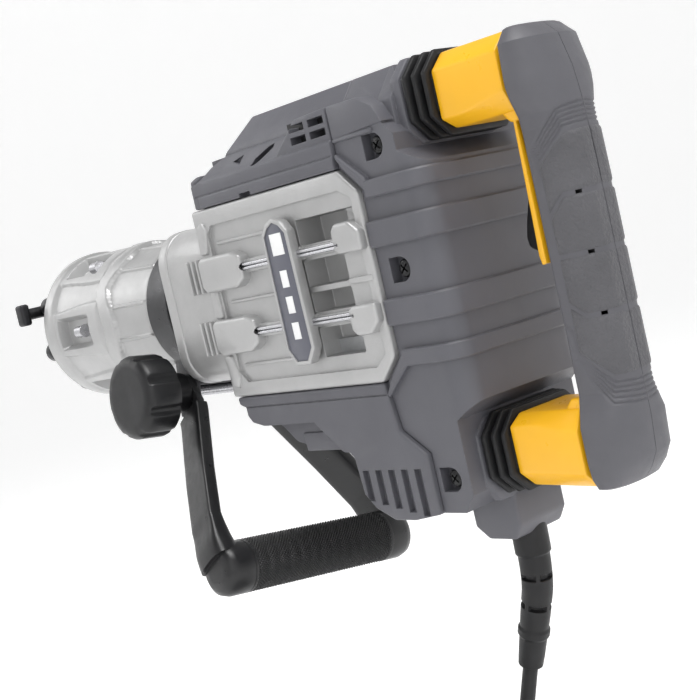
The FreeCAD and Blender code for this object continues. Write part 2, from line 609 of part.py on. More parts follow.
def make_bellows(name, low, high):
    """A rubber boot of three ribs round one handle arm."""
    front = "rear_wall - 0.2"
    pieces = [prism("YZ", octagon("bellows_half - 4", f"{low} + 1", f"{high} - 1", "arm_chamfer"),
                    ("bellows_rear", front))]
    for step in range(3):
        start = f"bellows_rear + 0.7 + {step * 5.9}"
        wide = f"bellows_half - 1 + {step * 2.5}"
        pieces.append(prism("YZ", octagon(wide, f"{low} - 3", f"{high} + 3", "arm_chamfer + 1"),
                            (start, f"{start} + 3.3")))
    hollow = block(("bellows_rear - 1", "rear_wall + 1"), ("-core_half - 4", "core_half + 4"),
                   (f"({low} + {high}) / 2 - core_tall - 4", f"({low} + {high}) / 2 + core_tall + 4"))
    subpart(name, cut(join(*pieces), hollow))


def make_handle():
    arms = []
    for low, high in (("upper_arm_low", "upper_arm_high"), ("lower_arm_low", "lower_arm_high")):
        middle = f"({low} + {high}) / 2"
        arms.append(prism("YZ", octagon("arm_width", low, high, "arm_chamfer"),
                          ("arm_rear + part_gap", "bellows_rear - part_gap")))
        arms.append(block(("bellows_rear - 1", "core_front"), ("-core_half", "core_half"),
                          (f"{middle} - core_tall", f"{middle} + core_tall")))
    strip = block(("strip_rear", "strip_front"), ("-strip_half", "strip_half"),
                  ("lower_arm_high - 1", "upper_arm_low + 1"))
    trigger_slot = block((-526, -505), ("-trigger_half - part_gap", "trigger_half + part_gap"),
                         ("trigger_low - 4", "trigger_top + 1"))
    button_hole = bar("x", "button_radius + run_gap", (-526, -505), (0, "button_at"))
    subpart("handle_frame", cut(join(*arms, strip), trigger_slot, button_hole))

    block_outline = [("arm_rear", "handle_top"), (-531, "handle_top - 0.5"), (-540.5, 109),
                     (-546, 89), (-548, 69), ("grip_rear", 21), ("grip_rear", -114), (-547, -128),
                     (-542, -138), (-533, "handle_bottom + 1"), ("arm_rear", "handle_bottom"),
                     ("arm_rear", -96.5), ("grip_front", -91), ("grip_front", 65), ("arm_rear", 71)]
    left = prism("XZ", block_outline, (0.1, "shell_side"))
    heads = [prism("XZ", block_outline[:4] + [(-546, 84), ("arm_rear", 82)], (0.1, "arm_width - 2")),
             prism("XZ", [("arm_rear", -108), (-548, -116), (-547, -128), (-542, -138),
                          (-533, "handle_bottom + 1"), ("arm_rear", "handle_bottom")],
                   (0.1, "arm_width - 2"))]
    inside = block((-545, -519), (-1, 16), (-60, 46))
    pivot_hole = bar("y", "pivot_radius + seat_gap", (-1, 19), ("trigger_pivot_x", "trigger_pivot_z"))
    trigger_room = block((-536, -506), (-1, "trigger_half + part_gap"),
                         ("trigger_low - 4", "trigger_top + 1"))
    button_room = bar("x", "button_radius + run_gap", (-527, -500), (0, "button_at"))
    half = cut(join(left, *heads), inside, pivot_hole, trigger_room, button_room)
    subpart("handle_shell_left", half)
    subpart("handle_shell_right", mirror(half))

    trigger = cut(prism("XZ", [(-525, 37), (-505, 37), (-496, 11.5), (-492, 0), (-493, -4),
                               (-498, "trigger_low"), (-525, "trigger_low")],
                        ("-trigger_half", "trigger_half")),
                  bar("y", "pivot_radius + run_gap", (-10, 10), ("trigger_pivot_x", "trigger_pivot_z")))
    subpart("trigger", trigger)
    subpart("trigger_pivot", bar("y", "pivot_radius", (-18.5, 18.5),
                                 ("trigger_pivot_x", "trigger_pivot_z")))
    subpart("lock_button", bar("x", "button_radius", (-520.5, -502), (0, "button_at")))
    subpart("switch_module", block((-544, -531), (-13, 13), (-40, 30)))
    springs = []
    for high, z in ((-441.5, 94.5), (-444.7, -119.5)):
        springs.append(cut(bar("x", "spring_outer", ("core_front + seat_gap", high), (0, z)),
                           bar("x", "spring_inner", ("core_front - 1", f"{high} + 1"), (0, z))))
    subpart("isolator_springs", join(*springs))


# ---------------------------------------------------------------- motor
def gear_wheel(teeth, span, bore, at):
    """A spur gear: a root disc, one tooth, and that tooth patterned round the axis."""
    pitch = f"gear_module * {teeth} / 2"
    body = doc.addObject("PartDesign::Body", "Gear")
    disc = body.newObject("Sketcher::SketchObject", "RootCircle")
    disc.AttachmentSupport = [(origin_plane(body, "XY_Plane"), "")]
    disc.MapMode = "FlatFace"
    for radius in [f"{pitch} - 1.3 * gear_module"] + bore:
        index = disc.addGeometry(Part.Circle(Vector(), Vector(0, 0, 1), num(radius)), False)
        disc.addConstraint(Sketcher.Constraint("Coincident", index, 3, -1, 1))
        which = disc.addConstraint(Sketcher.Constraint("Radius", index, num(radius)))
        disc.setExpression(f"Constraints[{which}]", linked(radius))
    rim = body.newObject("PartDesign::Pad", "Rim")
    rim.Profile = disc
    bind(rim, "Length", f"({span[1]}) - ({span[0]})")
    foot, middle, tip = (f"gear_module * {share}" for share in (0.96, 0.66, 0.26))
    tooth = draw_outline(body, "XY", [
        (f"{pitch} - 1.45 * gear_module", f"-({foot})"), (pitch, f"-({middle})"),
        (f"{pitch} + 0.9 * gear_module", f"-({tip})"), (f"{pitch} + 0.9 * gear_module", tip),
        (pitch, middle), (f"{pitch} - 1.45 * gear_module", foot)])
    tooth_pad = body.newObject("PartDesign::Pad", "Tooth")
    tooth_pad.Profile = tooth
    bind(tooth_pad, "Length", f"({span[1]}) - ({span[0]})")
    pattern = body.newObject("PartDesign::PolarPattern", "Teeth")
    pattern.Originals = [tooth_pad]
    pattern.Axis = (disc, ["N_Axis"])
    pattern.Angle = 360
    bind(pattern, "Occurrences", teeth)
    body.Tip = pattern
    return place(body, at, 0, span[0])


def make_motor():
    along = ("motor_at", 0)
    subpart("armature_shaft", bar("z", "shaft_radius", ("shaft_bottom", "shaft_top"), along))
    # The pinion's teeth are cut on the end of the shaft, so it has no bore of its own.
    subpart("drive_pinion", gear_wheel("pinion_teeth", ("shaft_top", -18), [], "motor_at"))
    core = cut(bar("z", "core_radius", ("stator_bottom - 1", "stator_top + 1"), along),
               bar("z", "shaft_radius", (-200, 0), along))
    subpart("armature_core", core)
    commutator = cut(bar("z", "commutator_radius", ("commutator_bottom", "commutator_top"), along),
                     bar("z", "shaft_radius", (-200, 0), along))
    subpart("commutator", commutator)

    blades = []
    for step in range(int(num("fan_blades"))):
        blade = block((8, "fan_radius - 1"), (-0.8, 0.8), ("fan_bottom + 2", "fan_top"))
        blade.Placement = Placement(Vector(num("motor_at"), 0, 0),
                                    Rotation(Vector(0, 0, 1), step * 40)).multiply(blade.Placement)
        for axis in "xyz":
            blade.setExpression(f"Placement.Base.{axis}", None)
        blades.append(blade)
    hub = bar("z", 9, ("fan_bottom", "fan_top"), along)
    disc = bar("z", "fan_radius", ("fan_bottom", "fan_bottom + 2.5"), along)
    subpart("cooling_fan", cut(join(hub, disc, *blades), bar("z", "shaft_radius", (-200, 0), along)))

    stator = cut(bar("z", "stator_radius", ("stator_bottom", "stator_top"), along),
                 bar("z", "stator_inner", (-200, 0), along))
    subpart("stator_core", stator)
    coils = [cut(bar("z", "stator_radius - 3", (low, high), along),
                 bar("z", "stator_inner + 1", (-200, 0), along))
             for low, high in (("stator_bottom - 4", "stator_bottom - seat_gap"),
                               ("stator_top + seat_gap", "stator_top + 6"))]
    subpart("field_coils", join(*coils))

    holder = cut(block(("motor_at - 6.5", "motor_at + 6.5"), (18, 39), (-134, -124.5)),
                 block(("motor_at - 4.1", "motor_at + 4.1"), (17, 36), (-132.3, -125.9)))
    subpart("brush_holders", join(holder, mirror(holder)))
    brush = block(("motor_at - 4", "motor_at + 4"), ("commutator_radius + 0.1", 31), (-132, -126))
    subpart("carbon_brushes", join(brush, mirror(brush)))
    bearings = [cut(bar("z", radius, span, along), bar("z", "shaft_radius + run_gap", (-200, 0), along))
                for radius, span in (("motor_bearing", (-51, -41)), ("11", (-145, -137)))]
    subpart("motor_bearings", join(*bearings))


def make_crank():
    crank_x = "motor_at + gear_module * (pinion_teeth + gear_teeth) / 2"
    along = (crank_x, 0)
    wheel = gear_wheel("gear_teeth", ("gear_bottom", "gear_top"), ["crank_shaft_radius"], crank_x)
    # The wheel has an odd number of teeth, so a gap faces the pinion's first tooth.
    subpart("crank_gear", wheel)
    shaft = join(bar("z", "crank_shaft_radius", ("crank_shaft_end", "gear_top"), along),
                 bar("z", "web_radius", ("gear_top", "web_top"), along),
                 bar("z", "crank_pin_radius", ("web_top", "crank_pin_top"),
                     (f"{crank_x} + crank_throw", 0)))
    subpart("crank_shaft", shaft)
    bearing = cut(bar("z", "crank_bearing", (-50, -38), along),
                  bar("z", "crank_shaft_radius + run_gap", (-60, 0), along))
    subpart("crank_bearing", bearing)
    plate = cut(block(("cavity_rear + part_gap", -335), ("-cavity_half + part_gap", "cavity_half - part_gap"),
                      ("plate_bottom", "plate_top")),
                bar("z", "crank_bearing + seat_gap", (-60, -30), along),
                bar("z", "motor_bearing + seat_gap", (-60, -30), ("motor_at", 0)))
    subpart("bearing_plate", plate)


# ---------------------------------------------------------------- hammer mechanism
def make_mechanism():
    wrist_x = "motor_at + gear_module * (pinion_teeth + gear_teeth) / 2 + crank_throw + rod_length"
    pin_x = f"{wrist_x} - rod_length"
    tube = cut(bar("x", "cylinder_radius", ("cylinder_rear", "guide_rear - 1")),
               bar("x", "bore_radius", ("cylinder_rear - 1", "guide_rear + 1")))
    subpart("cylinder", tube)

    piston = cut(bar("x", "bore_radius - run_gap", ("piston_rear", "piston_front")),
                 bar("x", "piston_wall", ("piston_rear - 1", f"{wrist_x} + 13.5")),
                 torus("x", "seal_at", "seal_round", ("piston_front - 4", 0, 0)),
                 bar("z", "wrist_radius", (-22, 22), (wrist_x, 0)))
    subpart("piston", piston)
    subpart("piston_seal", torus("x", "seal_at", "seal_round", ("piston_front - 4", 0, 0)))
    subpart("wrist_pin", bar("z", "wrist_radius", (-21, 21), (wrist_x, 0)))

    rod = join(bar("z", "small_end", ("-rod_half", "rod_half"), (wrist_x, 0)),
               bar("z", "big_end", ("-rod_half", "rod_half"), (pin_x, 0)),
               block((pin_x, wrist_x), (-5.5, 5.5), ("-rod_half", "rod_half")))
    subpart("connecting_rod", cut(rod, bar("z", "wrist_radius + run_gap", (-30, 30), (wrist_x, 0)),
                                  bar("z", "crank_pin_radius + run_gap", (-30, 30), (pin_x, 0))))

    striker = cut(join(bar("x", "bore_radius - run_gap", ("striker_rear", "striker_front")),
                       bar("x", "striker_stem", ("striker_front", "striker_nose"))),
                  torus("x", "seal_at", "seal_round", ("striker_rear + 10", 0, 0)))
    subpart("striker", striker)
    subpart("striker_seal", torus("x", "seal_at", "seal_round", ("striker_rear + 10", 0, 0)))
    subpart("impact_bolt", join(bar("x", "guide_radius", ("bolt_rear", "bolt_front")),
                                bar("x", "bolt_stem", ("bolt_front", "bolt_nose"))))


# ---------------------------------------------------------------- cord
def tangent_path(points):
    """Straight runs joined by tangent arcs, each as large as its two runs allow."""
    points = [Vector(*point) for point in points]
    edges = []
    radii = []
    start = points[0]
    for before, corner, after in zip(points, points[1:], points[2:]):
        run_in = corner - before
        run_out = after - corner
        turn = run_in.getAngle(run_out)
        reach = 0.45 * min(run_in.Length, run_out.Length)
        radii.append(reach / math.tan(turn / 2))
        first = corner - run_in.normalize() * reach
        last = corner + run_out.normalize() * reach
        middle_way = (run_out - run_in).normalize()
        to_arc = radii[-1] / math.cos(turn / 2) - radii[-1]
        edges.append(Part.LineSegment(start, first).toShape())
        edges.append(Part.Arc(first, corner + middle_way * to_arc, last).toShape())
        start = last
    edges.append(Part.LineSegment(start, points[-1]).toShape())
    return Part.Wire(edges), radii


def tube_along(points, radius):
    """A round tube swept along a tangent path."""
    path, radii = tangent_path(points)
    first = path.Edges[0]
    circle = Part.makeCircle(radius, first.Vertexes[0].Point,
                             first.Vertexes[1].Point - first.Vertexes[0].Point)
    tube = path.makePipeShell([Part.Wire([circle])], True, False)
    return tube, path, radii


def sized_feature(name, shape):
    """A feature whose shape was worked out in code from the sheet's sizes."""
    item = doc.addObject("Part::Feature", name)
    item.Shape = shape
    item.Placement = Placement()
    return subpart(name, item)


def make_relief():
    """A bent rubber sleeve with a wider collar at its mouth and a stem in the gland."""
    end = Vector(*CORD_ROUTE[0])
    route = RELIEF_ROUTE + [tuple(end)]
    sleeve, path, radii = tube_along(route, 11)
    along = (end - Vector(*RELIEF_ROUTE[-1])).normalize()
    collar = Part.makeCone(11.6, 9.6, 24, end - along * 24, along)
    stem = Part.makeCylinder(9, 16, Vector(num("relief_top_x"), 0, -177.4), Vector(0, 0, 1))
    sized_feature("strain_relief", sleeve.fuse([collar, stem]).removeSplitter())


def make_cord():
    radius = num("cord_diameter") / 2
    tube, path, radii = tube_along(CORD_ROUTE, radius)
    print("cord arc radii", [round(value, 1) for value in radii])
    ratio = tube.Volume / (math.pi * radius ** 2 * path.Length)
    print("cord volume over section times length", round(ratio, 4), "length", round(path.Length, 1))
    sized_feature("cord_run", tube)

    end = Vector(*CORD_ROUTE[-1])
    inner = num("coil_turn_radius") - num("coil_half_band")
    outer = num("coil_turn_radius") + num("coil_half_band")
    floor = num("floor_level")
    centre = Vector(end.x + num("coil_turn_radius"), end.y + 12, floor)
    ring = Part.makeCylinder(outer, num("coil_tall"), centre).cut(
        Part.makeCylinder(inner, num("coil_tall"), centre))
    rims = [edge for edge in ring.Edges if edge.Curve.TypeId == "Part::GeomCircle"]
    coil = ring.makeFillet(8, rims)
    sized_feature("cord_coil", coil)
    return centre


def make_plug(centre):
    """A moulded two-pin plug lying at the coil's edge, with its tail in the coil."""
    height = "floor_level + 17.2"
    middle = f"{centre.x} + coil_turn_radius"
    face = centre.y + 98
    body = join(cone("y", 9, 17, (face - 50, face - 28), (middle, height)),
                bar("y", 17, (face - 28, face), (middle, height)))
    pins = [bar("y", "plug_pin_radius", (face - 1, f"{face} + plug_pin_length"),
                (f"{middle} {sign} plug_pin_gap / 2", height)) for sign in "+-"]
    subpart("mains_plug", join(body, *pins))


# ---------------------------------------------------------------- build and write
def check_document():
    """Stop if any feature failed, or any sub-part's shape is empty or invalid."""
    for item in doc.Objects:
        if "Invalid" in item.State or "Error" in item.State:
            raise RuntimeError(f"{item.Name} ({item.Label}) failed: {item.State}")
    for item in subparts:
        if item.Shape.isNull() or not item.Shape.isValid() or not item.Shape.Solids:
            raise RuntimeError(f"{item.Label} has no valid solid")


def main():
    fill_sheet()
    make_nose()
    make_nose_cap()
    make_cross_pin()
    make_strap()
    make_knob()
    make_bracket()
    make_gearbox()
    make_top_shell()
    make_bottom_shell()
    make_rear_housing()
    make_bellows("upper_bellows", "upper_arm_low", "upper_arm_high")
    make_bellows("lower_bellows", "lower_arm_low", "lower_arm_high")
    make_handle()
    make_motor()
    make_crank()
    make_mechanism()
    make_relief()
    make_plug(make_cord())
    doc.recompute()
    check_document()
    os.makedirs("parts", exist_ok=True)
    for item in subparts:
        item.Shape.exportStep(f"parts/{item.Label}.step")
    print(len(subparts), "sub-parts written")


main()
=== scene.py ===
"""Looks of the demolition hammer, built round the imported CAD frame.

Lengths are written in millimetres, in the CAD model's frame, and scaled once when a mesh is made:
+X points out of the nose, +Z up and +Y to the operator's left.
"""
import json
import math

import bmesh
import bpy
from mathutils import Euler, Matrix, Vector


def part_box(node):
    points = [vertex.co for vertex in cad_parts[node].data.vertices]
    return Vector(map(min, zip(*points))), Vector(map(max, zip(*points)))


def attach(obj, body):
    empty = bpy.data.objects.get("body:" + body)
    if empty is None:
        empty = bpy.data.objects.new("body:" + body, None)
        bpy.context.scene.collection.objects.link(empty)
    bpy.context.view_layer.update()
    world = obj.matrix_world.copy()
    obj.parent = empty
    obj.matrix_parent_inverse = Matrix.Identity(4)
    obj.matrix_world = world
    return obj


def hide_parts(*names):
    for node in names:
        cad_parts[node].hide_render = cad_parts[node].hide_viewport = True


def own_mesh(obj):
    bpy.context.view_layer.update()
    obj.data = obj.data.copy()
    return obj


MM = 0.001
SWING = math.radians(8.6)
TILT = math.radians(35)
SIDES = (1, -1)
ROUGHNESS_SPREAD = 0.08

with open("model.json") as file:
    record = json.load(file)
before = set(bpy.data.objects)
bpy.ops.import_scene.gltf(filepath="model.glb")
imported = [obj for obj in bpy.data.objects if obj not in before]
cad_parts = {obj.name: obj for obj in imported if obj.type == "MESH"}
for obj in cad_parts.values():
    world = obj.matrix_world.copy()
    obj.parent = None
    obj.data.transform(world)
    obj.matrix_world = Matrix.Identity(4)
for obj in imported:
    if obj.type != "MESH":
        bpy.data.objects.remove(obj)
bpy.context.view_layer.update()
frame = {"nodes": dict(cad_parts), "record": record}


def box_mm(node):
    """The two corners of a CAD node, in millimetres."""
    low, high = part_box(node)
    return low / MM, high / MM


# ---------------------------------------------------------------- mesh helpers
def as_object(name, shape):
    """Turn a bmesh in millimetres into a linked object in metres."""
    bmesh.ops.recalc_face_normals(shape, faces=shape.faces)
    shape.transform(Matrix.Scale(MM, 4))
    data = bpy.data.meshes.new(name)
    shape.to_mesh(data)
    shape.free()
    piece = bpy.data.objects.new(name, data)
    bpy.context.scene.collection.objects.link(piece)
    return piece


def round_edges(shape, size, steps=2, sharper_than=20):
    """Bevel each edge that bends more than an angle."""
    limit = math.radians(sharper_than)
    sharp = [edge for edge in shape.edges if len(edge.link_faces) == 2
             and edge.calc_face_angle(0) > limit]
    bmesh.ops.bevel(shape, geom=sharp, offset=size, segments=steps, affect="EDGES", profile=0.5,
                    clamp_overlap=True)


def prism(name, plane, outline, low, high, rounding=0.8, steps=2):
    """A closed outline in the xz, yz or xy plane, drawn out along the third axis."""
    order = {"xz": (0, 2, 1), "yz": (1, 2, 0), "xy": (0, 1, 2)}[plane]
    shape = bmesh.new()
    rings = []
    for depth in (low, high):
        ring = []
        for first, second in outline:
            point = [0.0, 0.0, 0.0]
            point[order[0]], point[order[1]], point[order[2]] = first, second, depth
            ring.append(shape.verts.new(point))
        rings.append(ring)
    shape.faces.new(rings[0])
    shape.faces.new(list(reversed(rings[1])))
    count = len(outline)
    for index in range(count):
        after = (index + 1) % count
        shape.faces.new((rings[0][index], rings[1][index], rings[1][after], rings[0][after]))
    bmesh.ops.recalc_face_normals(shape, faces=shape.faces)
    if rounding:
        round_edges(shape, rounding, steps)
    return as_object(name, shape)


def slab(name, x, y, z, rounding=0.8, steps=2):
    """A rectangular block between two values on each axis."""
    outline = [(x[0], z[0]), (x[1], z[0]), (x[1], z[1]), (x[0], z[1])]
    return prism(name, "xz", outline, y[0], y[1], rounding, steps)


def turned(name, profile, steps=96, axis="x", centre=(0, 0, 0)):
    """A closed profile of (along, radius) points turned round an axis through centre."""
    shape = bmesh.new()
    rings = []
    for along, radius in profile:
        ring = []
        for step in range(steps):
            angle = 2 * math.pi * step / steps
            first, second = radius * math.cos(angle), radius * math.sin(angle)
            point = {"x": (along, first, second), "y": (first, along, second),
                     "z": (first, second, along)}[axis]
            ring.append(shape.verts.new(Vector(point) + Vector(centre)))
        rings.append(ring)
    pairs = list(zip(rings, rings[1:] + rings[:1]))
    for ring, after in pairs:
        for step in range(steps):
            other = (step + 1) % steps
            shape.faces.new((ring[step], ring[other], after[other], after[step]))
    return as_object(name, shape)


def bar(name, start, end, radius, rounding=0.6, steps=40):
    """A round bar between two points, with rounded rims."""
    start, end = Vector(start), Vector(end)
    shape = bmesh.new()
    bmesh.ops.create_cone(shape, cap_ends=True, segments=steps, radius1=radius,
                          radius2=radius, depth=(end - start).length)
    if rounding:
        round_edges(shape, rounding, 2, 40)
    turn = (end - start).to_track_quat("Z", "Y").to_matrix().to_4x4()
    shape.transform(Matrix.Translation((start + end) / 2) @ turn)
    return as_object(name, shape)


def apply_modifiers(piece):
    """Bake an object's modifiers into its mesh."""
    graph = bpy.context.evaluated_depsgraph_get()
    data = bpy.data.meshes.new_from_object(piece.evaluated_get(graph))
    piece.modifiers.clear()
    data.validate()
    piece.data = data
    return piece


def boolean(piece, others, operation):
    """Apply one boolean after another, and remove the tools."""
    for other in others:
        modifier = piece.modifiers.new("boolean", "BOOLEAN")
        modifier.operation = operation
        modifier.solver = "EXACT"
        modifier.object = other
    apply_modifiers(piece)
    for other in others:
        bpy.data.objects.remove(other)
    return piece


def add(piece, *others):
    """Join other pieces to a piece."""
    return boolean(piece, others, "UNION")


def carve(piece, *others):
    """Cut other pieces out of a piece."""
    return boolean(piece, others, "DIFFERENCE")


def keep_common(piece, *others):
    """Keep what a piece shares with the others."""
    return boolean(piece, others, "INTERSECT")


def gather(name, *pieces):
    """Put several objects' meshes into one object without changing them."""
    shape = bmesh.new()
    for piece in pieces:
        shape.from_mesh(piece.data)
        bpy.data.objects.remove(piece)
    data = bpy.data.meshes.new(name)
    shape.to_mesh(data)
    shape.free()
    joined = bpy.data.objects.new(name, data)
    bpy.context.scene.collection.objects.link(joined)
    return joined


def grid_surface(name, rows, columns, point, closed_rows=False):
    """A surface through point(row, column), closed round its columns, with capped ends."""
    shape = bmesh.new()
    rings = [[shape.verts.new(point(row, column)) for column in range(columns)]
             for row in range(rows)]
    pairs = list(zip(rings, rings[1:]))
    if closed_rows:
        pairs.append((rings[-1], rings[0]))
    for ring, after in pairs:
        for column in range(columns):
            other = (column + 1) % columns
            shape.faces.new((ring[column], ring[other], after[other], after[column]))
    if not closed_rows:
        shape.faces.new(rings[0])
        shape.faces.new(list(reversed(rings[-1])))
    return as_object(name, shape)


def turn_piece(piece, matrix):
    """Move a piece's mesh by a matrix, in metres."""
    piece.data.transform(matrix)
    return piece


def side_handle_matrix(tilted=True):
    """From the side handle's own frame, in metres, to the hammer's."""
    swing = Matrix.Rotation(SWING, 4, "X")
    if not tilted:
        return swing
    bolt = Matrix.Translation((-165 * MM, 0, -66 * MM))
    return swing @ bolt @ Matrix.Rotation(TILT, 4, "Y")


def ease(low, high, value):
    """0 below low, 1 above high and a smooth rise between."""
    share = min(max((value - low) / (high - low), 0), 1)
    return share * share * (3 - 2 * share)


def between(points, value):
    """Straight-line value of a list of (place, height) points."""
    for (start, low), (end, high) in zip(points, points[1:]):
        if value <= end:
            share = min(max((value - start) / (end - start), 0), 1)
            return low + (high - low) * share
    return points[-1][1]


# ---------------------------------------------------------------- materials
def surface(name, colour, roughness, metallic=0.0, tone=0.06, tone_size=40, grain=0.0,
            grain_size=900, dents=0.0, dent_size=120, worn=None, wear=0.0, edge=0.6,
            coat=0.0, sheen=0.0, specular=0.5):
    """A finish with colour variation, surface grain, soft dents and worn, rounded-looking edges."""
    material = bpy.data.materials.new(name)
    material.use_nodes = True
    nodes, links = material.node_tree.nodes, material.node_tree.links
    nodes.clear()
    output = nodes.new("ShaderNodeOutputMaterial")
    shader = nodes.new("ShaderNodeBsdfPrincipled")
    links.new(shader.outputs[0], output.inputs[0])
    place = nodes.new("ShaderNodeTexCoord").outputs["Object"]

    def noise(scale, detail=3.0, rough=0.55):
        node = nodes.new("ShaderNodeTexNoise")
        node.inputs["Scale"].default_value = scale
        node.inputs["Detail"].default_value = detail
        node.inputs["Roughness"].default_value = rough
        links.new(place, node.inputs["Vector"])
        return node.outputs[0]

    def spread(value, low, high, from_low=0.3, from_high=0.7):
        node = nodes.new("ShaderNodeMapRange")
        links.new(value, node.inputs[0])
        for socket, number in zip(node.inputs[1:5], (from_low, from_high, low, high)):
            socket.default_value = number
        return node.outputs[0]

    def mixed(factor, first, second):
        node = nodes.new("ShaderNodeMix")
        node.data_type = "RGBA"
        links.new(factor, node.inputs[0])
        for socket, value in ((node.inputs[6], first), (node.inputs[7], second)):
            if isinstance(value, tuple):
                socket.default_value = (*value, 1)
            else:
                links.new(value, socket)
        return node.outputs[2]

    dark = tuple(channel * (1 - tone) for channel in colour)
    light = tuple(min(channel * (1 + tone), 1) for channel in colour)
    paint = mixed(spread(noise(tone_size, 4), 0, 1), dark, light)
    fine = noise(grain_size, 2, 0.6)

    rounded = nodes.new("ShaderNodeBevel")
    rounded.samples = 4
    rounded.inputs["Radius"].default_value = edge * MM
    if worn:
        geometry = nodes.new("ShaderNodeNewGeometry")
        product = nodes.new("ShaderNodeVectorMath")
        product.operation = "DOT_PRODUCT"
        links.new(rounded.outputs[0], product.inputs[0])
        links.new(geometry.outputs["Normal"], product.inputs[1])
        edges = spread(product.outputs["Value"], wear, 0, 0.75, 0.985)
        scuffs = nodes.new("ShaderNodeMath")
        scuffs.operation = "MULTIPLY"
        links.new(edges, scuffs.inputs[0])
        links.new(spread(noise(260, 5, 0.7), 0, 1, 0.45, 0.6), scuffs.inputs[1])
        paint = mixed(scuffs.outputs[0], paint, worn)
    links.new(paint, shader.inputs["Base Color"])
    patches = noise(tone_size * 3, 4)
    links.new(spread(patches, roughness - ROUGHNESS_SPREAD, roughness + ROUGHNESS_SPREAD),
              shader.inputs["Roughness"])
    shader.inputs["Metallic"].default_value = metallic
    shader.inputs["Coat Weight"].default_value = coat
    shader.inputs["Coat Roughness"].default_value = 0.25
    shader.inputs["Sheen Weight"].default_value = sheen
    shader.inputs["Specular IOR Level"].default_value = specular

    normal = rounded.outputs[0]
    for height, depth in ((fine, grain), (noise(dent_size, 3), dents)):
        if depth:
            bump = nodes.new("ShaderNodeBump")
            bump.inputs["Strength"].default_value = 0.6
            bump.inputs["Distance"].default_value = depth * MM
            links.new(height, bump.inputs["Height"])
            links.new(normal, bump.inputs["Normal"])
            normal = bump.outputs[0]
    links.new(normal, shader.inputs["Normal"])
    return material


cast_paint = surface("cast_paint", (0.43, 0.43, 0.43), 0.40, metallic=0.45, tone=0.07,
                     tone_size=25, grain=0.16, grain_size=1300, dents=0.45, dent_size=170,
                     worn=(0.74, 0.74, 0.74), wear=0.4, edge=0.9, coat=0.12)
nose_paint = surface("nose_paint", (0.44, 0.44, 0.44), 0.36, metallic=0.5, tone=0.06,
                     tone_size=30, grain=0.12, grain_size=1200, dents=0.5, dent_size=120,
                     worn=(0.72, 0.72, 0.72), wear=0.25, edge=0.8, coat=0.15)
grey_plastic = surface("grey_plastic", (0.098, 0.098, 0.112), 0.46, tone=0.06, tone_size=18,
                       grain=0.10, grain_size=2600, worn=(0.25, 0.25, 0.27), wear=0.5, edge=0.9)
handle_plastic = surface("handle_plastic", (0.096, 0.095, 0.107), 0.50, tone=0.05,
                         grain=0.12, grain_size=2400, worn=(0.22, 0.22, 0.24), wear=0.35, edge=0.4)
pad_rubber = surface("pad_rubber", (0.085, 0.084, 0.092), 0.60, tone=0.10, grain=1.8,
                     grain_size=430, dents=0.6, dent_size=230, edge=0.3, sheen=0.1)
yellow_plastic = surface("yellow_plastic", (0.87, 0.45, 0.008), 0.34, tone=0.03, grain=0.04,
                         grain_size=2200, worn=(0.95, 0.68, 0.22), wear=0.35, edge=0.9, coat=0.2)
black_rubber = surface("black_rubber", (0.010, 0.010, 0.011), 0.46, tone=0.2, grain=0.12,
                       grain_size=1500, worn=(0.045, 0.045, 0.045), wear=0.6, edge=0.7,
                       specular=0.35)
black_plastic = surface("black_plastic", (0.010, 0.010, 0.011), 0.36, tone=0.2, grain=0.10,
                        grain_size=2000, worn=(0.05, 0.05, 0.05), wear=0.5, edge=0.9,
                        specular=0.4)
grip_rubber = surface("grip_rubber", (0.010, 0.010, 0.011), 0.34, tone=0.2, grain=0.05,
                      grain_size=1500, worn=(0.04, 0.04, 0.04), wear=0.4, edge=0.3,
                      specular=0.45)
dark_steel = surface("dark_steel", (0.035, 0.035, 0.038), 0.36, metallic=0.75, tone=0.2,
                     grain=0.10, grain_size=1100, dents=0.2, worn=(0.30, 0.30, 0.31), wear=0.6)
strap_paint = surface("strap_paint", (0.055, 0.055, 0.058), 0.33, metallic=0.6, tone=0.12,
                      grain=0.05, grain_size=1300, worn=(0.30, 0.30, 0.31), wear=0.5)
bright_steel = surface("bright_steel", (0.52, 0.52, 0.54), 0.27, metallic=1.0, tone=0.08,
                       grain=0.05, grain_size=1700, worn=(0.8, 0.8, 0.8), wear=0.4)
machined = surface("machined", (0.36, 0.36, 0.37), 0.36, metallic=1.0, tone=0.12, grain=0.08,
                   grain_size=900, worn=(0.5, 0.5, 0.5), wear=0.3)
copper = surface("copper", (0.55, 0.23, 0.10), 0.35, metallic=1.0, tone=0.2, grain=0.3,
                 grain_size=1200, worn=(0.7, 0.35, 0.18), wear=0.3)
brass = surface("brass", (0.70, 0.50, 0.20), 0.30, metallic=1.0, tone=0.1, grain=0.04,
                worn=(0.8, 0.6, 0.3), wear=0.3)
rough_alloy = surface("rough_alloy", (0.50, 0.51, 0.52), 0.45, metallic=0.9, tone=0.1,
                      grain=0.3, grain_size=800, worn=(0.7, 0.7, 0.7), wear=0.3)
badge_grey = surface("badge_grey", (0.095, 0.098, 0.125), 0.40, tone=0.04, grain=0.03,
                     worn=(0.2, 0.2, 0.22), wear=0.3, coat=0.3)
white_print = surface("white_print", (0.85, 0.85, 0.85), 0.45, tone=0.02, grain=0.02,
                      worn=(0.9, 0.9, 0.9), wear=0.2)
screw_black = surface("screw_black", (0.010, 0.010, 0.011), 0.28, metallic=0.4, tone=0.2,
                      grain=0.05, worn=(0.25, 0.25, 0.25), wear=0.6, edge=0.3)
# Near-black finish: the carbon brushes' own colour, and also painted shade on the vent floors of the top
# cover
carbon_and_painted_shade = surface("carbon_and_painted_shade", (0.02, 0.02, 0.021), 0.6, tone=0.1, grain=0.05,
                      worn=(0.05, 0.05, 0.05), wear=0.3)

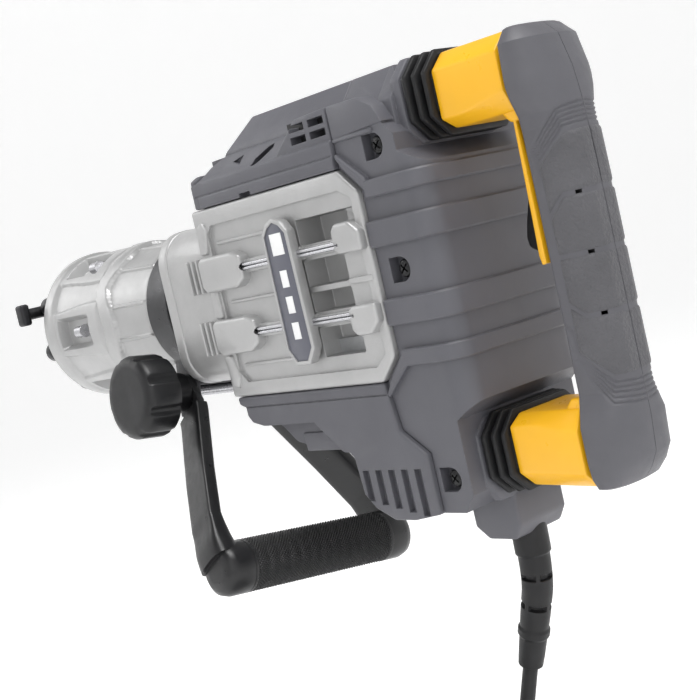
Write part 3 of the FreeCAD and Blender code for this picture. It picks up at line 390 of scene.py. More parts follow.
CAD_FINISH = {
    "nose_paint": nose_paint, "case_paint": cast_paint, "grey_plastic": grey_plastic,
    "yellow_plastic": yellow_plastic, "black_plastic": black_plastic,
    "rubber_black": black_rubber, "steel": bright_steel, "dark_steel": dark_steel,
    "bolt_steel": machined, "strap_paint": strap_paint, "aluminium_cast": rough_alloy,
    "bronze": brass, "copper_coil": copper, "badge_plastic": badge_grey,
    "cast_steel": machined, "carbon": carbon_and_painted_shade, "brass_pins": brass,
}


def dress(piece, material, body, nodes=(), smooth=32):
    """Shade a finished piece, let it ride on its body and stand for its CAD nodes."""
    piece.data.materials.clear()
    piece.data.materials.append(material)
    piece.data.shade_smooth()
    piece.data.set_sharp_from_angle(angle=math.radians(smooth))
    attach(piece, body)
    if nodes:
        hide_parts(*nodes)
    return piece


def dress_cad_nodes():
    """Give every CAD node that stays in view a procedural finish."""
    slots = {item["node"]: item["material_slot"] for item in frame["record"]["subparts"]}
    for name, node in frame["nodes"].items():
        node.data.materials.clear()
        node.data.materials.append(CAD_FINISH[slots[name]])


# ---------------------------------------------------------------- nose
NOSE_PROFILE = [(-186, 49.6), (-151, 49.6), (-148.5, 51.2), (-102, 54.2), (-98, 55), (-78, 56),
                (-20, 57.2), (-16.5, 60.2), (-12, 61), (-5, 60.7), (-2, 59.4), (0, 57.4)]


def nose_radius(x, azimuth):
    """Outer radius of the nose casting at a place along the axis and an angle round it."""
    radius = between(NOSE_PROFILE, x)
    away = abs((azimuth + 30) % 60 - 30)
    # raised frame round each bolt pocket, wider towards the belt
    spread = 17 + 3.5 * ease(-20, -72, x)
    frame_height = ease(spread + 2.2, spread, away) * ease(-17, -21, x) * ease(-88, -84, x)
    radius += 2.2 * frame_height
    # pocket, deepest at its front, with a sloped floor up to the belt
    inside = ease(12.6, 11.2, away) * ease(-24, -26, x) * ease(-72, -68, x)
    floor = 50.0 + 6.0 * ease(-55, -72, x)
    radius = radius * (1 - inside) + min(floor, radius) * inside
    # zigzag belt
    middle = -96 + 5.5 * (away / 15 - 1)
    radius += 3.2 * ease(9.5, 6.8, abs(x - middle))
    # long ridges behind the belt
    behind = ease(-103, -109, x) * ease(-150, -147, x)
    ridge = ease(2.0, 1.0, abs(away - 14))
    radius += behind * (1.5 * ridge + 0.9 * ease(14, 13, away))
    return radius


def build_nose():
    """The cast nose with its belt, ridges and bolt pockets, and the six bolts in them."""
    columns = 360
    stations = [-186 + 36 * row / 18 for row in range(18)]
    stations += [-150 + 1.25 * row for row in range(121)]
    inner = [(0, 27.0), (-60, 27.0), (-60.5, 31), (-186, 31)]
    outer_rows = len(stations)

    def point(row, column):
        angle = 2 * math.pi * column / columns
        if row < outer_rows:
            x = stations[row]
            radius = nose_radius(x, math.degrees(angle))
        else:
            x, radius = inner[row - outer_rows]
        return Vector((x, radius * math.cos(angle), radius * math.sin(angle)))

    casting = grid_surface("nose_casting", outer_rows + len(inner), columns, point, True)
    dress(casting, nose_paint, "base", ["nose_housing"], smooth=40)

    heads = []
    for step in range(6):
        turn = Matrix.Rotation(math.radians(60 * step), 4, "X")
        head = turned("head", [(-47.5, 0.01), (-47.5, 3.9), (-48.3, 4.6), (-58, 4.6), (-58, 5.2),
                               (-59, 5.2), (-59, 0.01)], 32, "x", (0, 54.4, 0))
        key = turned("key", [(-46, 0.01), (-46, 2.7), (-52, 2.7), (-52, 0.01)], 6, "x", (0, 54.4, 0))
        heads.append(turn_piece(carve(head, key), turn))
    dress(gather("nose_cap_screws", *heads), bright_steel, "base", ["nose_bolts"])


def build_front_cap():
    """The lobed disc round the hexagonal mouth."""
    disc = turned("front_cap", [(0.2, 15), (0.2, 54.5), (1, 55.5), (3.4, 55.5), (4.4, 54.3),
                                (4.4, 15)], 120)
    outline = [(-26, -26), (26, -26), (26, 20), (14, 36), (-14, 36), (-26, 20)]
    block = prism("block", "yz", outline, 0.4, 32, 2.2, 3)
    lobes = []
    for step in range(8):
        angle = math.radians(45 * step - 15)
        across = (49 * math.cos(angle), 49 * math.sin(angle))
        lobes.append(bar("lobe", (0.4, *across), (13, *across), 8.2, 1.8, 36))
        lobes.append(slab("web", (0.4, 9), (20, 46), (-4, 4), 1.0))
        turn_piece(lobes[-1], Matrix.Rotation(angle, 4, "X"))
    cap = add(disc, block, *lobes)
    mouth = turned("mouth", [(-1, 0.01), (-1, 17.55), (28.5, 17.55), (33, 21), (33, 0.01)], 6)
    pin_hole = bar("hole", (18, -30, 22.5), (18, 30, 22.5), 8.7, 0)
    dots = [turned("dot", [(12, 0.01), (12, 3.0), (14, 3.0), (14, 0.01)], 24, "x",
                   (0, 49 * math.cos(math.radians(45 * step - 15)),
                    49 * math.sin(math.radians(45 * step - 15)))) for step in range(8)]
    carve(cap, mouth, pin_hole, *dots)
    dress(cap, dark_steel, "base", ["nose_cap"])


def build_cross_pin():
    """The pin that holds the chisel, with its T-shaped grip."""
    stem = bar("locking_pin", (18, -27, 22.5), (18, 27, 22.5), 8.5, 0.8)
    flat = slab("flat", (5, 31), (-20, 20), (29, 36), 0)
    carve(stem, flat)
    neck = bar("neck", (18, 26, 22.5), (18, 61, 22.5), 4.8, 0.4)
    head = slab("head", (12, 24), (60, 68), (13.5, 31.5), 2.4, 4)
    collar = bar("collar", (18, -31, 22.5), (18, -27, 22.5), 10.8, 1.0)
    washer = bar("washer", (18, 27, 22.5), (18, 30, 22.5), 7.5, 0.6)
    add(stem, neck, head, collar, washer)
    dress(stem, dark_steel, "pin", ["cross_pin"])


# ---------------------------------------------------------------- side handle
def build_strap():
    """The band round the neck and the two legs that hold the side handle."""
    band = turned("neck_strap", [(-178, 50.4), (-178, 52.6), (-177.4, 53.2), (-152.6, 53.2),
                                 (-152, 52.6), (-152, 50.4)], 160)
    opening = slab("opening", (-180, -150), (-30, 30), (-56, -2), 0)
    carve(band, opening)
    for side in SIDES:
        leg = slab("leg", (-178, -152), (30, 33) if side > 0 else (-33, -30), (-84.5, -40.5), 0.6)
        add(band, leg)
    turn_piece(band, side_handle_matrix(False))
    dress(band, strap_paint, "strap", ["handle_strap"])


def build_knob():
    """A broad knob with eight grip lobes, a shallow dished face and a stepped collar."""
    profile = [(38.9, 11.5), (38.9, 14.5), (43, 15.2), (46, 14.2), (50, 14.8), (53.5, 18.5),
               (55.5, 24), (58, 29.2), (62, 30.6), (80, 30.6), (83.6, 29.0), (85.6, 25.5),
               (86, 21), (85.4, 8), (85.3, 0.2)]
    columns = 192

    def point(row, column):
        angle = 2 * math.pi * column / columns
        along, radius = profile[row]
        lobe = 0.5 + 0.5 * math.cos(8 * angle)
        groove = ease(0.28, 0.0, lobe) * ease(56, 61, along) * ease(84.5, 82, along)
        radius -= 2.6 * groove
        return Vector((-165 + radius * math.cos(angle), along, -66 + radius * math.sin(angle)))

    knob = grid_surface("clamp_wheel", len(profile), columns, point)
    turn_piece(knob, side_handle_matrix(False))
    dress(knob, black_plastic, "knob", ["clamp_knob"], smooth=38)


def arm_centre(depth):
    """How far the arm of the side handle lies from the middle, at a depth below the bolt."""
    return between([(14, 36.6), (24, 39), (75, 59.3), (112, 72.5), (132, 76.2), (150, 77.2)], depth)


def build_side_handle():
    """Moulded arms that run into a knurled grip, over a flat steel bow."""
    pieces = []
    for side in SIDES:
        rows, columns = 40, 40

        def point(row, column):
            depth = 20 + 124 * row / (rows - 1)
            centre = arm_centre(depth)
            lean = math.atan2(arm_centre(depth + 3) - arm_centre(depth - 3), 6)
            angle = 2 * math.pi * column / columns
            swell = ease(112, 146, depth)
            half_wide = 15.4 + 1.6 * swell
            half_thick = 5.6 + 5.5 * swell
            power = 0.32 + 0.35 * swell
            cosine, sine = math.cos(angle), math.sin(angle)
            wide = half_wide * math.copysign(abs(cosine) ** power, cosine)
            thick = half_thick * math.copysign(abs(sine) ** power, sine)
            across = centre + thick * math.cos(lean)
            down = depth - thick * math.sin(lean)
            return Vector((wide, side * across, -down))

        pieces.append(grid_surface("arm", rows, columns, point))
        end = [(60, 10), (58, 17.4), (64, 18.5), (76, 18.5), (81, 17.0), (83.6, 13.5), (84, 8),
               (84, 0.2), (60, 0.2)]
        profile = [(side * along, radius) for along, radius in end]
        pieces.append(turned("end", profile, 64, "y", (0, 0, -150)))
    arms = gather("moulded_arms", *pieces)
    turn_piece(arms, side_handle_matrix())
    dress(arms, grip_rubber, "bow", ["arm_sleeves"], smooth=42)

    rows, columns = 300, 264

    def grip_point(row, column):
        along = -63 + 126 * row / (rows - 1)
        angle = 2 * math.pi * column / columns
        wrap = 44 * angle
        first = math.cos(wrap / 2 + along * 1.30)
        second = math.cos(wrap / 2 - along * 1.30)
        knurl = max(abs(first), abs(second)) ** 2
        area = ease(-62, -59, along) * ease(62, 59, along)
        radius = 18.5 - 0.95 * area * ease(0.30, 0.95, knurl)
        return Vector((radius * math.cos(angle), along, -150 + radius * math.sin(angle)))

    grip = grid_surface("knurled_grip", rows, columns, grip_point)
    turn_piece(grip, side_handle_matrix())
    dress(grip, grip_rubber, "bow", ["hand_grip"], smooth=60)

    bows = []
    for side in SIDES:
        outline = [(33.3, -17), (57, -74), (70, -112), (74, -138), (79, -138), (75, -111),
                   (62, -73), (38.3, -15)]
        outline = [(side * across, down) for across, down in outline]
        strip = prism("strip", "yz", outline, -13, 13, 0.8)
        eye = bar("eye", (0, side * 33.3, 0), (0, side * 38.3, 0), 13, 0.8, 64)
        neck = slab("neck", (-13, 13), (33.3, 38.3) if side > 0 else (-38.3, -33.3), (-18, 0), 0.6)
        bows.append(add(eye, neck, strip))
    bow = gather("steel_bow", *bows)
    turn_piece(bow, side_handle_matrix())
    dress(bow, strap_paint, "bow", ["handle_bow"])


# ---------------------------------------------------------------- gearbox
ROD_ROWS = (22, -22)
ROD_DEPTH = 61.2


def rounded_square(half, corner, steps=8):
    """Corner points of a square with round corners, for the yz plane."""
    points = []
    inner = half - corner
    for quarter, (y, z) in enumerate(((1, 1), (-1, 1), (-1, -1), (1, -1))):
        for step in range(steps + 1):
            angle = math.radians(90 * (quarter + step / steps))
            points.append((y * inner + corner * math.cos(angle), z * inner + corner * math.sin(angle)))
    return points


def side_prism(name, side, outline, low, high, rounding=0.8, steps=2):
    """A prism in the xz plane that stands on the left (1) or right (-1) side."""
    low, high = sorted((side * low, side * high))
    return prism(name, "xz", outline, low, high, rounding, steps)


def side_slab(name, side, x, y, z, rounding=0.8, steps=2):
    low, high = sorted((side * y[0], side * y[1]))
    return slab(name, x, (low, high), z, rounding, steps)


def build_clamp():
    """The saddle between the strap's legs and the bolt the knob turns on."""
    saddle = slab("clamp_saddle", (-176, -154), (-29.4, 29.4), (-62, -50.5), 1.5)
    turn_piece(saddle, side_handle_matrix(False))
    dress(saddle, strap_paint, "strap", ["clamp_block"])
    bolt = bar("clamp_stud", (-165, -42, -66), (-165, 57, -66), 4.2, 0.6)
    add(bolt, bar("clamp_nut", (-165, -44.5, -66), (-165, -39, -66), 9, 0.8, 6))
    turn_piece(bolt, side_handle_matrix(False))
    dress(bolt, bright_steel, "strap", ["clamp_bolt"])


def build_gearbox():
    """The flange, the ribbed casting with its windows and bosses, and the rods between the bosses."""
    flange = prism("flange_plate", "yz", rounded_square(57, 25), -196.9, -186.1, 1.6, 3)
    carve(flange, bar("bore", (-200, 0, 0), (-180, 0, 0), 30.4, 0, 96))
    dress(flange, cast_paint, "base", ["front_flange"])

    case = prism("gearbox_casting", "yz", rounded_square(56.6, 25), -246, -197.1, 1.0, 2)
    outline = [(-243, 66), (-243, -66), (-400, -66), (-415, -51), (-415, 51), (-400, 66)]
    add(case, prism("pad", "xz", outline, -58, 58, 2.2, 3))
    recess = [(-262, 54), (-257, 48), (-257, -48), (-264, -56), (-398, -56), (-408, -48),
              (-408, 48), (-398, 54)]
    cells = [(43, 26.5), (16.6, -0.5), (-4, -17), (-27, -46)]
    for side in SIDES:
        carve(case, side_prism("recess", side, recess, 55.6, 62, 0))
        for index, (high, low) in enumerate(cells):
            depth = 34 if index == 0 else 38
            carve(case, side_slab("cell", side, (-389, -349.5), (depth, 62), (low, high), 1.4, 2))
        carve(case, side_slab("cell", side, (-406, -388), (46, 62), (35, 43), 1.0, 2))
    for side in SIDES:
        for row, way in zip(ROD_ROWS, (1, -1)):
            front = side_prism("front_boss", side, [
                (-245, row + 9), (-245, row - 9), (-249, row - 13), (-284, row - 13),
                (-293, row - 8), (-293, row + 8), (-284, row + 11.5), (-249, row + 11.5)],
                50, 64.2, 2.4, 3)
            ribs = [side_slab("rib", side, (x - 2.2, x), (50, 60.6), (row - 12.5, row + 11.5), 0.9, 2)
                    for x in (-225.5, -231.5, -237.5)]
            rail = side_slab("rail", side, (-352, -290), (50, 59.0), (row - 4.4, row + 4.4), 1.2, 2)
            beam = side_slab("beam", side, (-391, -348), (52, 59.6), (row - 3.4, row + 3.4), 1.0, 2)
            rear = side_prism("rear_boss", side, [
                (-389, row - way * 4), (-389, row + way * 9), (-393, row + way * 13),
                (-406, row + way * 13), (-414, row + way * 6), (-414, row - way * 6),
                (-393, row - way * 6)], 50, 63.8, 2.2, 3)
            add(case, front, *ribs, rail, beam, rear)
        creases = [side_slab("crease", side, (-322, -264), (50, 57.6), (z - 1.0, z + 1.0), 0.6)
                   for z in (41, 0, -44)]
        creases.append(side_slab("crease", side, (-413, -391), (50, 58.8), (-3.2, 0.6), 0.8))
        spines = [side_prism("spine", side, shape, 50, 60, 1.8, 3) for shape in (
            [(-246, 10), (-255, 10), (-255, -10), (-246, -10)],
            [(-245, 35), (-254, 35), (-258, 50), (-254, 58), (-247, 54)],
            [(-245, -36), (-254, -36), (-258, -52), (-254, -60), (-247, -56)])]
        add(case, *creases, *spines)
    holes = [bar("hole", (x - 5, side * ROD_DEPTH, row), (x + 5, side * ROD_DEPTH, row), 2.7, 0, 24)
             for x in (-293, -389) for side in SIDES for row in ROD_ROWS]
    carve(case, *holes)
    dress(case, cast_paint, "base", ["gearbox_case"])

    rods = [bar("rod", (-391, side * ROD_DEPTH, row + offset),
                (-290, side * ROD_DEPTH, row + offset), 1.15, 0, 20)
            for side in SIDES for row in ROD_ROWS for offset in (-1.3, 1.3)]
    dress(gather("tie_rod_pairs", *rods), bright_steel, "base", ["tie_rods"])


def build_badges():
    """A rimmed plate with plain marks on each side."""
    outline = [(-325, 38), (-324, -38), (-331, -48), (-345, -48), (-352.5, -38), (-351.5, 38),
               (-346, 45), (-338.5, 48), (-331, 45)]
    inset = [(-327.4, 37), (-326.4, -37), (-332.4, -45.4), (-343.6, -45.4), (-350.1, -37),
             (-349.1, 37), (-344.6, 42.4), (-338.5, 45.2), (-332.4, 42.4)]
    rims, plates, marks = [], [], []
    for side in SIDES:
        rim = side_prism("rim", side, outline, 58.5, 66.0, 1.0)
        rims.append(carve(rim, side_prism("inset", side, inset, 64.8, 70, 0)))
        plates.append(side_prism("plate", side, inset, 64.0, 65.3, 0.3))
        marks.append(side_slab("mark", side, (-344.5, -332.5), (65.2, 65.5), (24, 38), 0.1))
        for step in range(3):
            high = 14 - 17 * step
            marks.append(side_slab("bar", side, (-342, -335), (65.2, 65.5), (high - 11, high), 0.1))
    dress(gather("badge_rims", *rims), cast_paint, "base", ["badge_plates"])
    dress(gather("badge_faces", *plates), badge_grey, "base")
    dress(gather("badge_marks", *marks), white_print, "base")


# ---------------------------------------------------------------- plastic housings
def mirrored(points):
    return list(points) + [(-x, y) for x, y in reversed(points)]


def build_top_cover():
    """The stepped cover over the gearbox, with vents, slots and a yellow inlay."""
    cover = prism("top_cover", "yz", mirrored([(57.4, 66.5), (57.4, 83.5), (54, 86), (46, 97),
                                               (40, 98)]), -399.7, -249, 1.2)
    roof = prism("roof", "yz", mirrored([(44.5, 90), (44.5, 99), (41.5, 102.5), (27.5, 118.8)]),
                 -399.7, -262, 1.4)
    nose = prism("nose", "xz", [(-240, 96), (-279, 96.5), (-283, 101), (-297, 118.9), (-297, 130),
                                (-240, 130)], -70, 70, 0)
    carve(roof, nose)
    slope = prism("slope", "xz", [(-240, 80), (-256, 84), (-268, 92), (-285, 97.5), (-285, 110),
                                  (-240, 110)], -70, 70, 0)
    carve(cover, slope)
    add(cover, roof)
    lip = prism("lip", "yz", mirrored([(58, 66.5), (58, 74), (56, 76)]), -399.7, -256, 0.8)
    front = prism("front", "yz", mirrored([(56, 66.5), (56, 86), (50, 89)]), -254, -248, 1.2)
    add(cover, lip, front)
    tools = []
    for side in SIDES:
        wedge = side_prism("wedge", side, [(-343, 84), (-369, 103.5), (-399.7, 104.5), (-399.7, 84)],
                           38, 55.4, 1.2)
        add(cover, wedge)
        for x in (-397, -378):
            for z in (88.5, 96):
                tools.append(side_slab("vent", side, (x, x + 15), (46, 60), (z, z + 4.6), 0.5))
        slot = [(-318, 84.5), (-322, 84), (-338, 92), (-338, 94.5), (-332, 93.5), (-320, 88)]
        tools.append(side_prism("slot", side, slot, 45, 60, 0))
        tools.append(side_prism("notch", side, [(-294, 91), (-305, 93.5), (-303, 88)], 48, 60, 0))
        tools.append(side_slab("key_hole", side, (-314, -302), (52, 60), (66, 69.2), 0))
        tools.append(side_slab("groove", side, (-399, -252), (57.0, 60), (74.6, 75.6), 0))
    carve(cover, *tools)
    dress(cover, grey_plastic, "base", ["top_shell"])
    inlay = slab("roof_inlay", (-376, -350), (-17, 17), (118.4, 119.7), 0.4)
    dress(inlay, yellow_plastic, "base")
    # Near-black slabs just behind the vent floors: painted shade for the dark inside of the vents
    painted_shade_slabs = [slab("painted_shade_slabs", (-398, -352), (40, 46.5), (86, 103), 0),
               slab("painted_shade_slabs", (-398, -352), (-46.5, -40), (86, 103), 0)]
    dress(gather("vent_painted_shade_slabs", *painted_shade_slabs), carbon_and_painted_shade, "base")


def build_motor_cover():
    """The cover below the gearbox, with louvres over the fan."""
    outline = [(-246, -66.4), (-399.9, -66.4), (-403.6, -97.2), (-423.6, -112.2), (-423.6, -150),
               (-400, -153.8), (-382, -153.8), (-366, -146), (-358, -137), (-356, -113),
               (-352, -109), (-298, -109), (-299, -104), (-290, -102), (-277, -90), (-257, -85),
               (-253, -80), (-253, -74), (-247, -72)]
    cover = prism("motor_cover", "xz", outline, -57.6, 57.6, 1.8, 3)
    tools = []
    for side in SIDES:
        inset = [(-240, -87.5), (-324, -87.5), (-345, -106), (-352, -112), (-352, -125), (-240, -125)]
        tools.append(side_prism("inset", side, inset, 47.5, 62, 0.0))
        dish = [(-323, -90), (-344, -108), (-330, -108), (-326, -100)]
        tools.append(side_prism("dish", side, dish, 40, 62, 0))
        for x in (-364, -376, -388, -400, -412):
            wedge = prism("louvre", "xy", [(x + 2.4, side * 59), (x + 2.4, side * 53.5),
                                           (x - 3.8, side * 57.2), (x - 3.8, side * 59)],
                          -146 + 0.2 * (x + 388), -121, 0)
            tools.append(wedge)
        tools.append(side_slab("groove", side, (-401, -240), (56.8, 62), (-74.2, -73.0), 0))
    tools.append(bar("screw_seat", (-316, 0, -113), (-316, 0, -106), 6, 0))
    carve(cover, *tools)
    # a ledge that steps down under the front
    add(cover, prism("ledge", "xz", [(-299, -96), (-352, -96), (-352, -108.6), (-300, -108.6)],
                     -49, 49, 1.0))
    dress(cover, grey_plastic, "base", ["bottom_shell"])
    head = pan_head((-312, -30, -111), (0, 0, -1), 5.0)
    low = pan_head((-312, 34, -110.6), (0, 0, -1), 5.2)
    dress(gather("cover_screws", head, low), screw_black, "base", ["base_screw"])


def pan_head(centre, axis, radius):
    """A pan-head screw with a cross recess, facing along an axis."""
    profile = [(-3.2, 0.01), (-3.2, radius * 0.94), (-1.6, radius), (-0.6, radius * 0.84),
               (0.0, radius * 0.42), (0.1, 0.01)]
    head = turned("screw", profile, 40, "z")
    for turn in (45, 135):
        blade = slab("blade", (-radius * 0.62, radius * 0.62), (-0.55, 0.55), (-1.8, 2), 0)
        turn_piece(blade, Matrix.Rotation(math.radians(turn), 4, "Z"))
        carve(head, blade)
    rotation = Vector(axis).to_track_quat("Z", "Y").to_matrix().to_4x4()
    return turn_piece(head, Matrix.Translation(Vector(centre) * MM) @ rotation)


def plan_outline(half, rear, corner, front, steps=10):
    """Outline in the xy plane of a body with two round rear corners."""
    points = [(front, half)]
    for step in range(steps + 1):
        angle = math.radians(90 + 90 * step / steps)
        points.append((rear + corner + corner * math.cos(angle),
                       half - corner + corner * math.sin(angle)))
    return points + [(x, -y) for x, y in reversed(points)]


def build_rear_body():
    """The rear housing: banded walls, roof, handle bosses, cord gland and six screws."""
    edge = 66.5
    outline = [(-400.3, edge), (-400.3, 86), (-444, 86), (-451.6, 78), (-451.6, 68), (-465.5, 58),
               (-465.5, -84), (-451.6, -93.5), (-451.6, -139), (-443, -149.6), (-424.4, -149.6),
               (-424.4, -111.7), (-404.4, -96.8), (-400.4, -edge), (-415.6, -51.3), (-415.6, 51.3)]
    body = prism("rear_body", "xz", outline, -70, 70, 0)
    keep_common(body, prism("plan", "xy", plan_outline(53.8, -465.5, 16, -390), -160, 100, 0))
    bands = [prism("band", "xy", plan_outline(58, -468, 18, front), bottom, top, 1.0, 1)
             for top, bottom, front in ((31.3, 15.4, -415.7), (-16.2, -32.3, -415.7),
                                        (55.5, 45, -421), (-47, -57.5, -421))]
    for side in SIDES:
        for way in SIDES:
            rib = [(-424, way * 57), (-424, way * 47), (-405.5, way * 66.5), (-401.5, way * 72.5),
                   (-401.5, way * 76)]
            bands.append(side_prism("rib", side, rib, 50, 58, 1.2, 1))
    add(body, *bands)
    roof = prism("roof", "yz", mirrored([(55.4, 82), (55.4, 84), (53, 86), (46, 97), (44.5, 99),
                                         (41.5, 102.5), (27.5, 118.8)]), -436, -400.3, 1.2)
    slope = prism("slope", "yz", mirrored([(44.5, 80), (44.5, 99), (41.5, 102.5), (27.5, 118.8)]),
                  -447, -434, 1.2)
    carve(slope, prism("cut", "xz", [(-436, 120), (-450, 104), (-450, 130), (-436, 130)],
                       -70, 70, 0))
    upper = prism("upper_boss", "yz", mirrored([(32, 68.5), (41.5, 78), (41.5, 108), (30, 119.6)]),
                  -453, -445, 1.8)
    lower = prism("lower_boss", "yz", mirrored([(32, -148.8), (42, -137), (42, -106),
                                                (32, -96.4)]), -453, -445, 1.8)
    gland = prism("gland", "xz", [(-414.2, -145), (-453, -145), (-453, -167), (-446.5, -176.8),
                                  (-424, -176.8), (-414.2, -169)], -22, 22, 2.2, 3)
    add(body, roof, slope, upper, lower, gland)
    tools = [bar("gland_bore", (-438, 0, -180), (-438, 0, -165), 11.8, 0, 48)]
    places = ((-434, 74), (-434, 0), (-437, -129))
    for side in SIDES:
        add(body, side_prism("wedge", side, [(-400.3, 84), (-400.3, 104.5), (-428, 104),
                                             (-440, 97), (-446, 86)], 38, 55.0, 1.4))
        for x, z in places:
            well = [(x + 9, z - 7.6), (x + 9, z + 7.6)]
            well += [(x - 7.6 * math.sin(math.radians(15 * step)),
                      z + 7.6 * math.cos(math.radians(15 * step))) for step in range(13)]
            tools.append(side_prism("well", side, well, 46, 60, 0))
    carve(body, *tools)
    dress(body, grey_plastic, "base", ["rear_housing"])

    heads = [pan_head((x, side * 51.5, z), (0, side, 0), 5.6) for side in SIDES for x, z in places]
    dress(gather("body_screws", *heads), screw_black, "base", ["housing_screws"])


# ---------------------------------------------------------------- rear handle
def octagon(half, low, high, chamfer):
    return mirrored([(half - chamfer, low), (half, low + chamfer), (half, high - chamfer),
                     (half - chamfer, high)])


def build_bellows():
    """A ribbed boot round each arm of the rear handle."""
    for name, node, low, high in (("upper_boot", "upper_bellows", 72, 117),
                                  ("lower_boot", "lower_bellows", -142, -97)):
        boot = prism(name, "yz", octagon(32, low + 1.5, high - 1.5, 11), -470.7, -453.3, 0.6)
        for step in range(3):
            start = -470.3 + 5.9 * step
            rib = octagon(37 + 2.4 * step, low - 2.8, high + 2.8, 12.5)
            add(boot, prism("rib", "yz", rib, start, start + 3.6, 1.4, 2))
        carve(boot, slab("hollow", (-480, -450), (-20, 20),
                         ((low + high) / 2 - 13, (low + high) / 2 + 13), 0))
        piece = dress(boot, black_rubber, "base", [node])
        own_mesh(piece)


def handle_arm(way, near, low, high):
    """One yellow arm that narrows to the grip; way is 1 for the upper arm and -1 for the lower."""
    rows = 12

    def point(row, column):
        share = row / (rows - 1)
        half = 32.6 - 3.8 * share
        slope = 6 * ease(0.25, 1, share)
        far = high + 3 * share * (way < 0)
        corners = [(22, low), (half, low + 6 + slope), (half, far - 10), (half - 11, far)]
        corners += [(-y, z) for y, z in reversed(corners)]
        y, z = corners[column]
        return Vector((-471.3 - 46.9 * share, y, near + way * z))

    arm = grid_surface("arm", rows, 8, point)
    shape = bmesh.new()
    shape.from_mesh(arm.data)
    bpy.data.objects.remove(arm)
    shape.transform(Matrix.Scale(1 / MM, 4))
    round_edges(shape, 1.4, 2, 25)
    arm = as_object("arm", shape)
    core = slab("core", (-472, -459), (-17, 17), sorted((near + way * 11.5, near + way * 33.5)), 1.5)
    throat = prism("throat", "xz", [(-518.2, near - way * 5), (-511, near - way * 5),
                                    (-503, near + way * 4), (-518.2, near + way * 4)], -21, 21, 2.0, 3)
    return add(arm, core, throat)


def build_handle_frame():
    """The yellow arms and the liner in front of the grip."""
    frame_piece = handle_arm(1, 72, 0.6, 45)
    lower = handle_arm(-1, -97, 0.6, 45)
    liner = [(-515.4, 71), (-513.6, 71), (-511.8, 5), (-511.2, -9), (-512.3, -14.5), (-515.4, -14)]
    add(frame_piece, lower, prism("liner", "xz", liner, -20.6, 20.6, 0.4),
        slab("strip", (-515.4, -511.5), (-10, 10), (-100, 0), 0.6))
    carve(frame_piece, slab("slot", (-526, -500), (-6.9, 6.9), (-10.9, 39.2), 0),
          bar("hole", (-526, 0, 53), (-500, 0, 53), 4.2, 0))
    frame_piece.name = "yellow_frame"
    dress(frame_piece, yellow_plastic, "rear_handle", ["handle_frame"])


# z, front x, rear x, half width and squareness of the grip's section
GRIP_FORM = [(-145.8, -518.6, -533, 21, 2.2), (-144.5, -518.6, -536, 25, 2.2),
             (-138, -518.6, -542, 28.5, 2.3), (-129, -518.6, -547.2, 29.6, 2.4),
             (-108, -518.6, -548.9, 29.6, 2.4), (-100, -517.2, -548.9, 25.5, 2.5),
             (-91, -516, -548.9, 21.4, 2.6), (-60, -516, -548.9, 21, 2.6), (21, -516, -548.9, 21, 2.6),
             (60, -516, -548.2, 21.2, 2.6), (68, -516.6, -547.9, 22.6, 2.5),
             (78, -518, -547.2, 28.5, 2.3), (85, -518.6, -546.4, 30.8, 2.2),
             (90, -518.6, -545.8, 30.8, 2.2), (109, -518.6, -540.8, 29.5, 2.2),
             (116.8, -518.6, -532.5, 22.5, 2.2), (117.8, -518.6, -530.5, 19.5, 2.2)]


def grip_section(z, steps):
    """Points (x, y, distance from the rear seam) along the left half of the grip's section."""
    front, rear, half, power = (between([(row[0], row[index]) for row in GRIP_FORM], z)
                                for index in (1, 2, 3, 4))
    middle = front - 5
    points = []
    travelled = 0.0
    for step in range(steps):
        angle = math.radians(90 - 180 * step / (steps - 1))
        share = abs(math.sin(angle))
        y = max(half * abs(math.cos(angle)) ** (2 / power), 0.16)
        if angle > 0:
            x = middle - (middle - rear) * share ** (2 / power)
        else:
            x = middle + 5 * share ** 0.5
        if points:
            travelled += math.hypot(x - points[-1][0], y - points[-1][1])
        points.append((x, y, travelled))
    return points


def line_gap(line, u, z):
    """Distance from a point to a polyline in the plane of the unrolled grip."""
    best = 99.0
    for (u0, z0), (u1, z1) in zip(line, line[1:]):
        run, rise = u1 - u0, z1 - z0
        share = ((u - u0) * run + (z - z0) * rise) / (run * run + rise * rise)
        share = min(max(share, 0), 1)
        best = min(best, math.hypot(u - u0 - share * run, z - z0 - share * rise))
    return best


SECTION_STEPS = 88
PAD_REACH = 36
UPPER_FAN = ([(0, 70), (19, 68), (40, 48), (42, 40)], [(0, 56.5), (17, 55.5), (36, 39), (36, 30)])


LOWER_FAN = ([(0, -99), (22, -97), (40, -68), (42, -50)],
             [(0, -83.5), (17, -82.5), (36.5, -66), (37, -56)])


def fan_lines(fan, count=5):
    outer, inner = fan
    return [[(a + (c - a) * step / count, b + (d - b) * step / count)
             for (a, b), (c, d) in zip(outer, inner)] for step in range(count)]


# top and bottom edge of each rubber pad: distance from the rear seam, height
PADS = [([(0, 56), (17, 55), (36, 39)], [(0, 22.5), (25, 22.5), (36, 12)]),
        ([(0, 20.5), (25, 20.5), (36, 9)], [(0, -11), (25, -11), (36, -11)]),
        ([(0, -13), (25, -13), (36, -13)], [(0, -45.5), (26, -45.5), (36, -38)]),
        ([(0, -47.5), (26, -47.5), (36, -40)], [(0, -82.5), (17, -82), (36, -66)])]


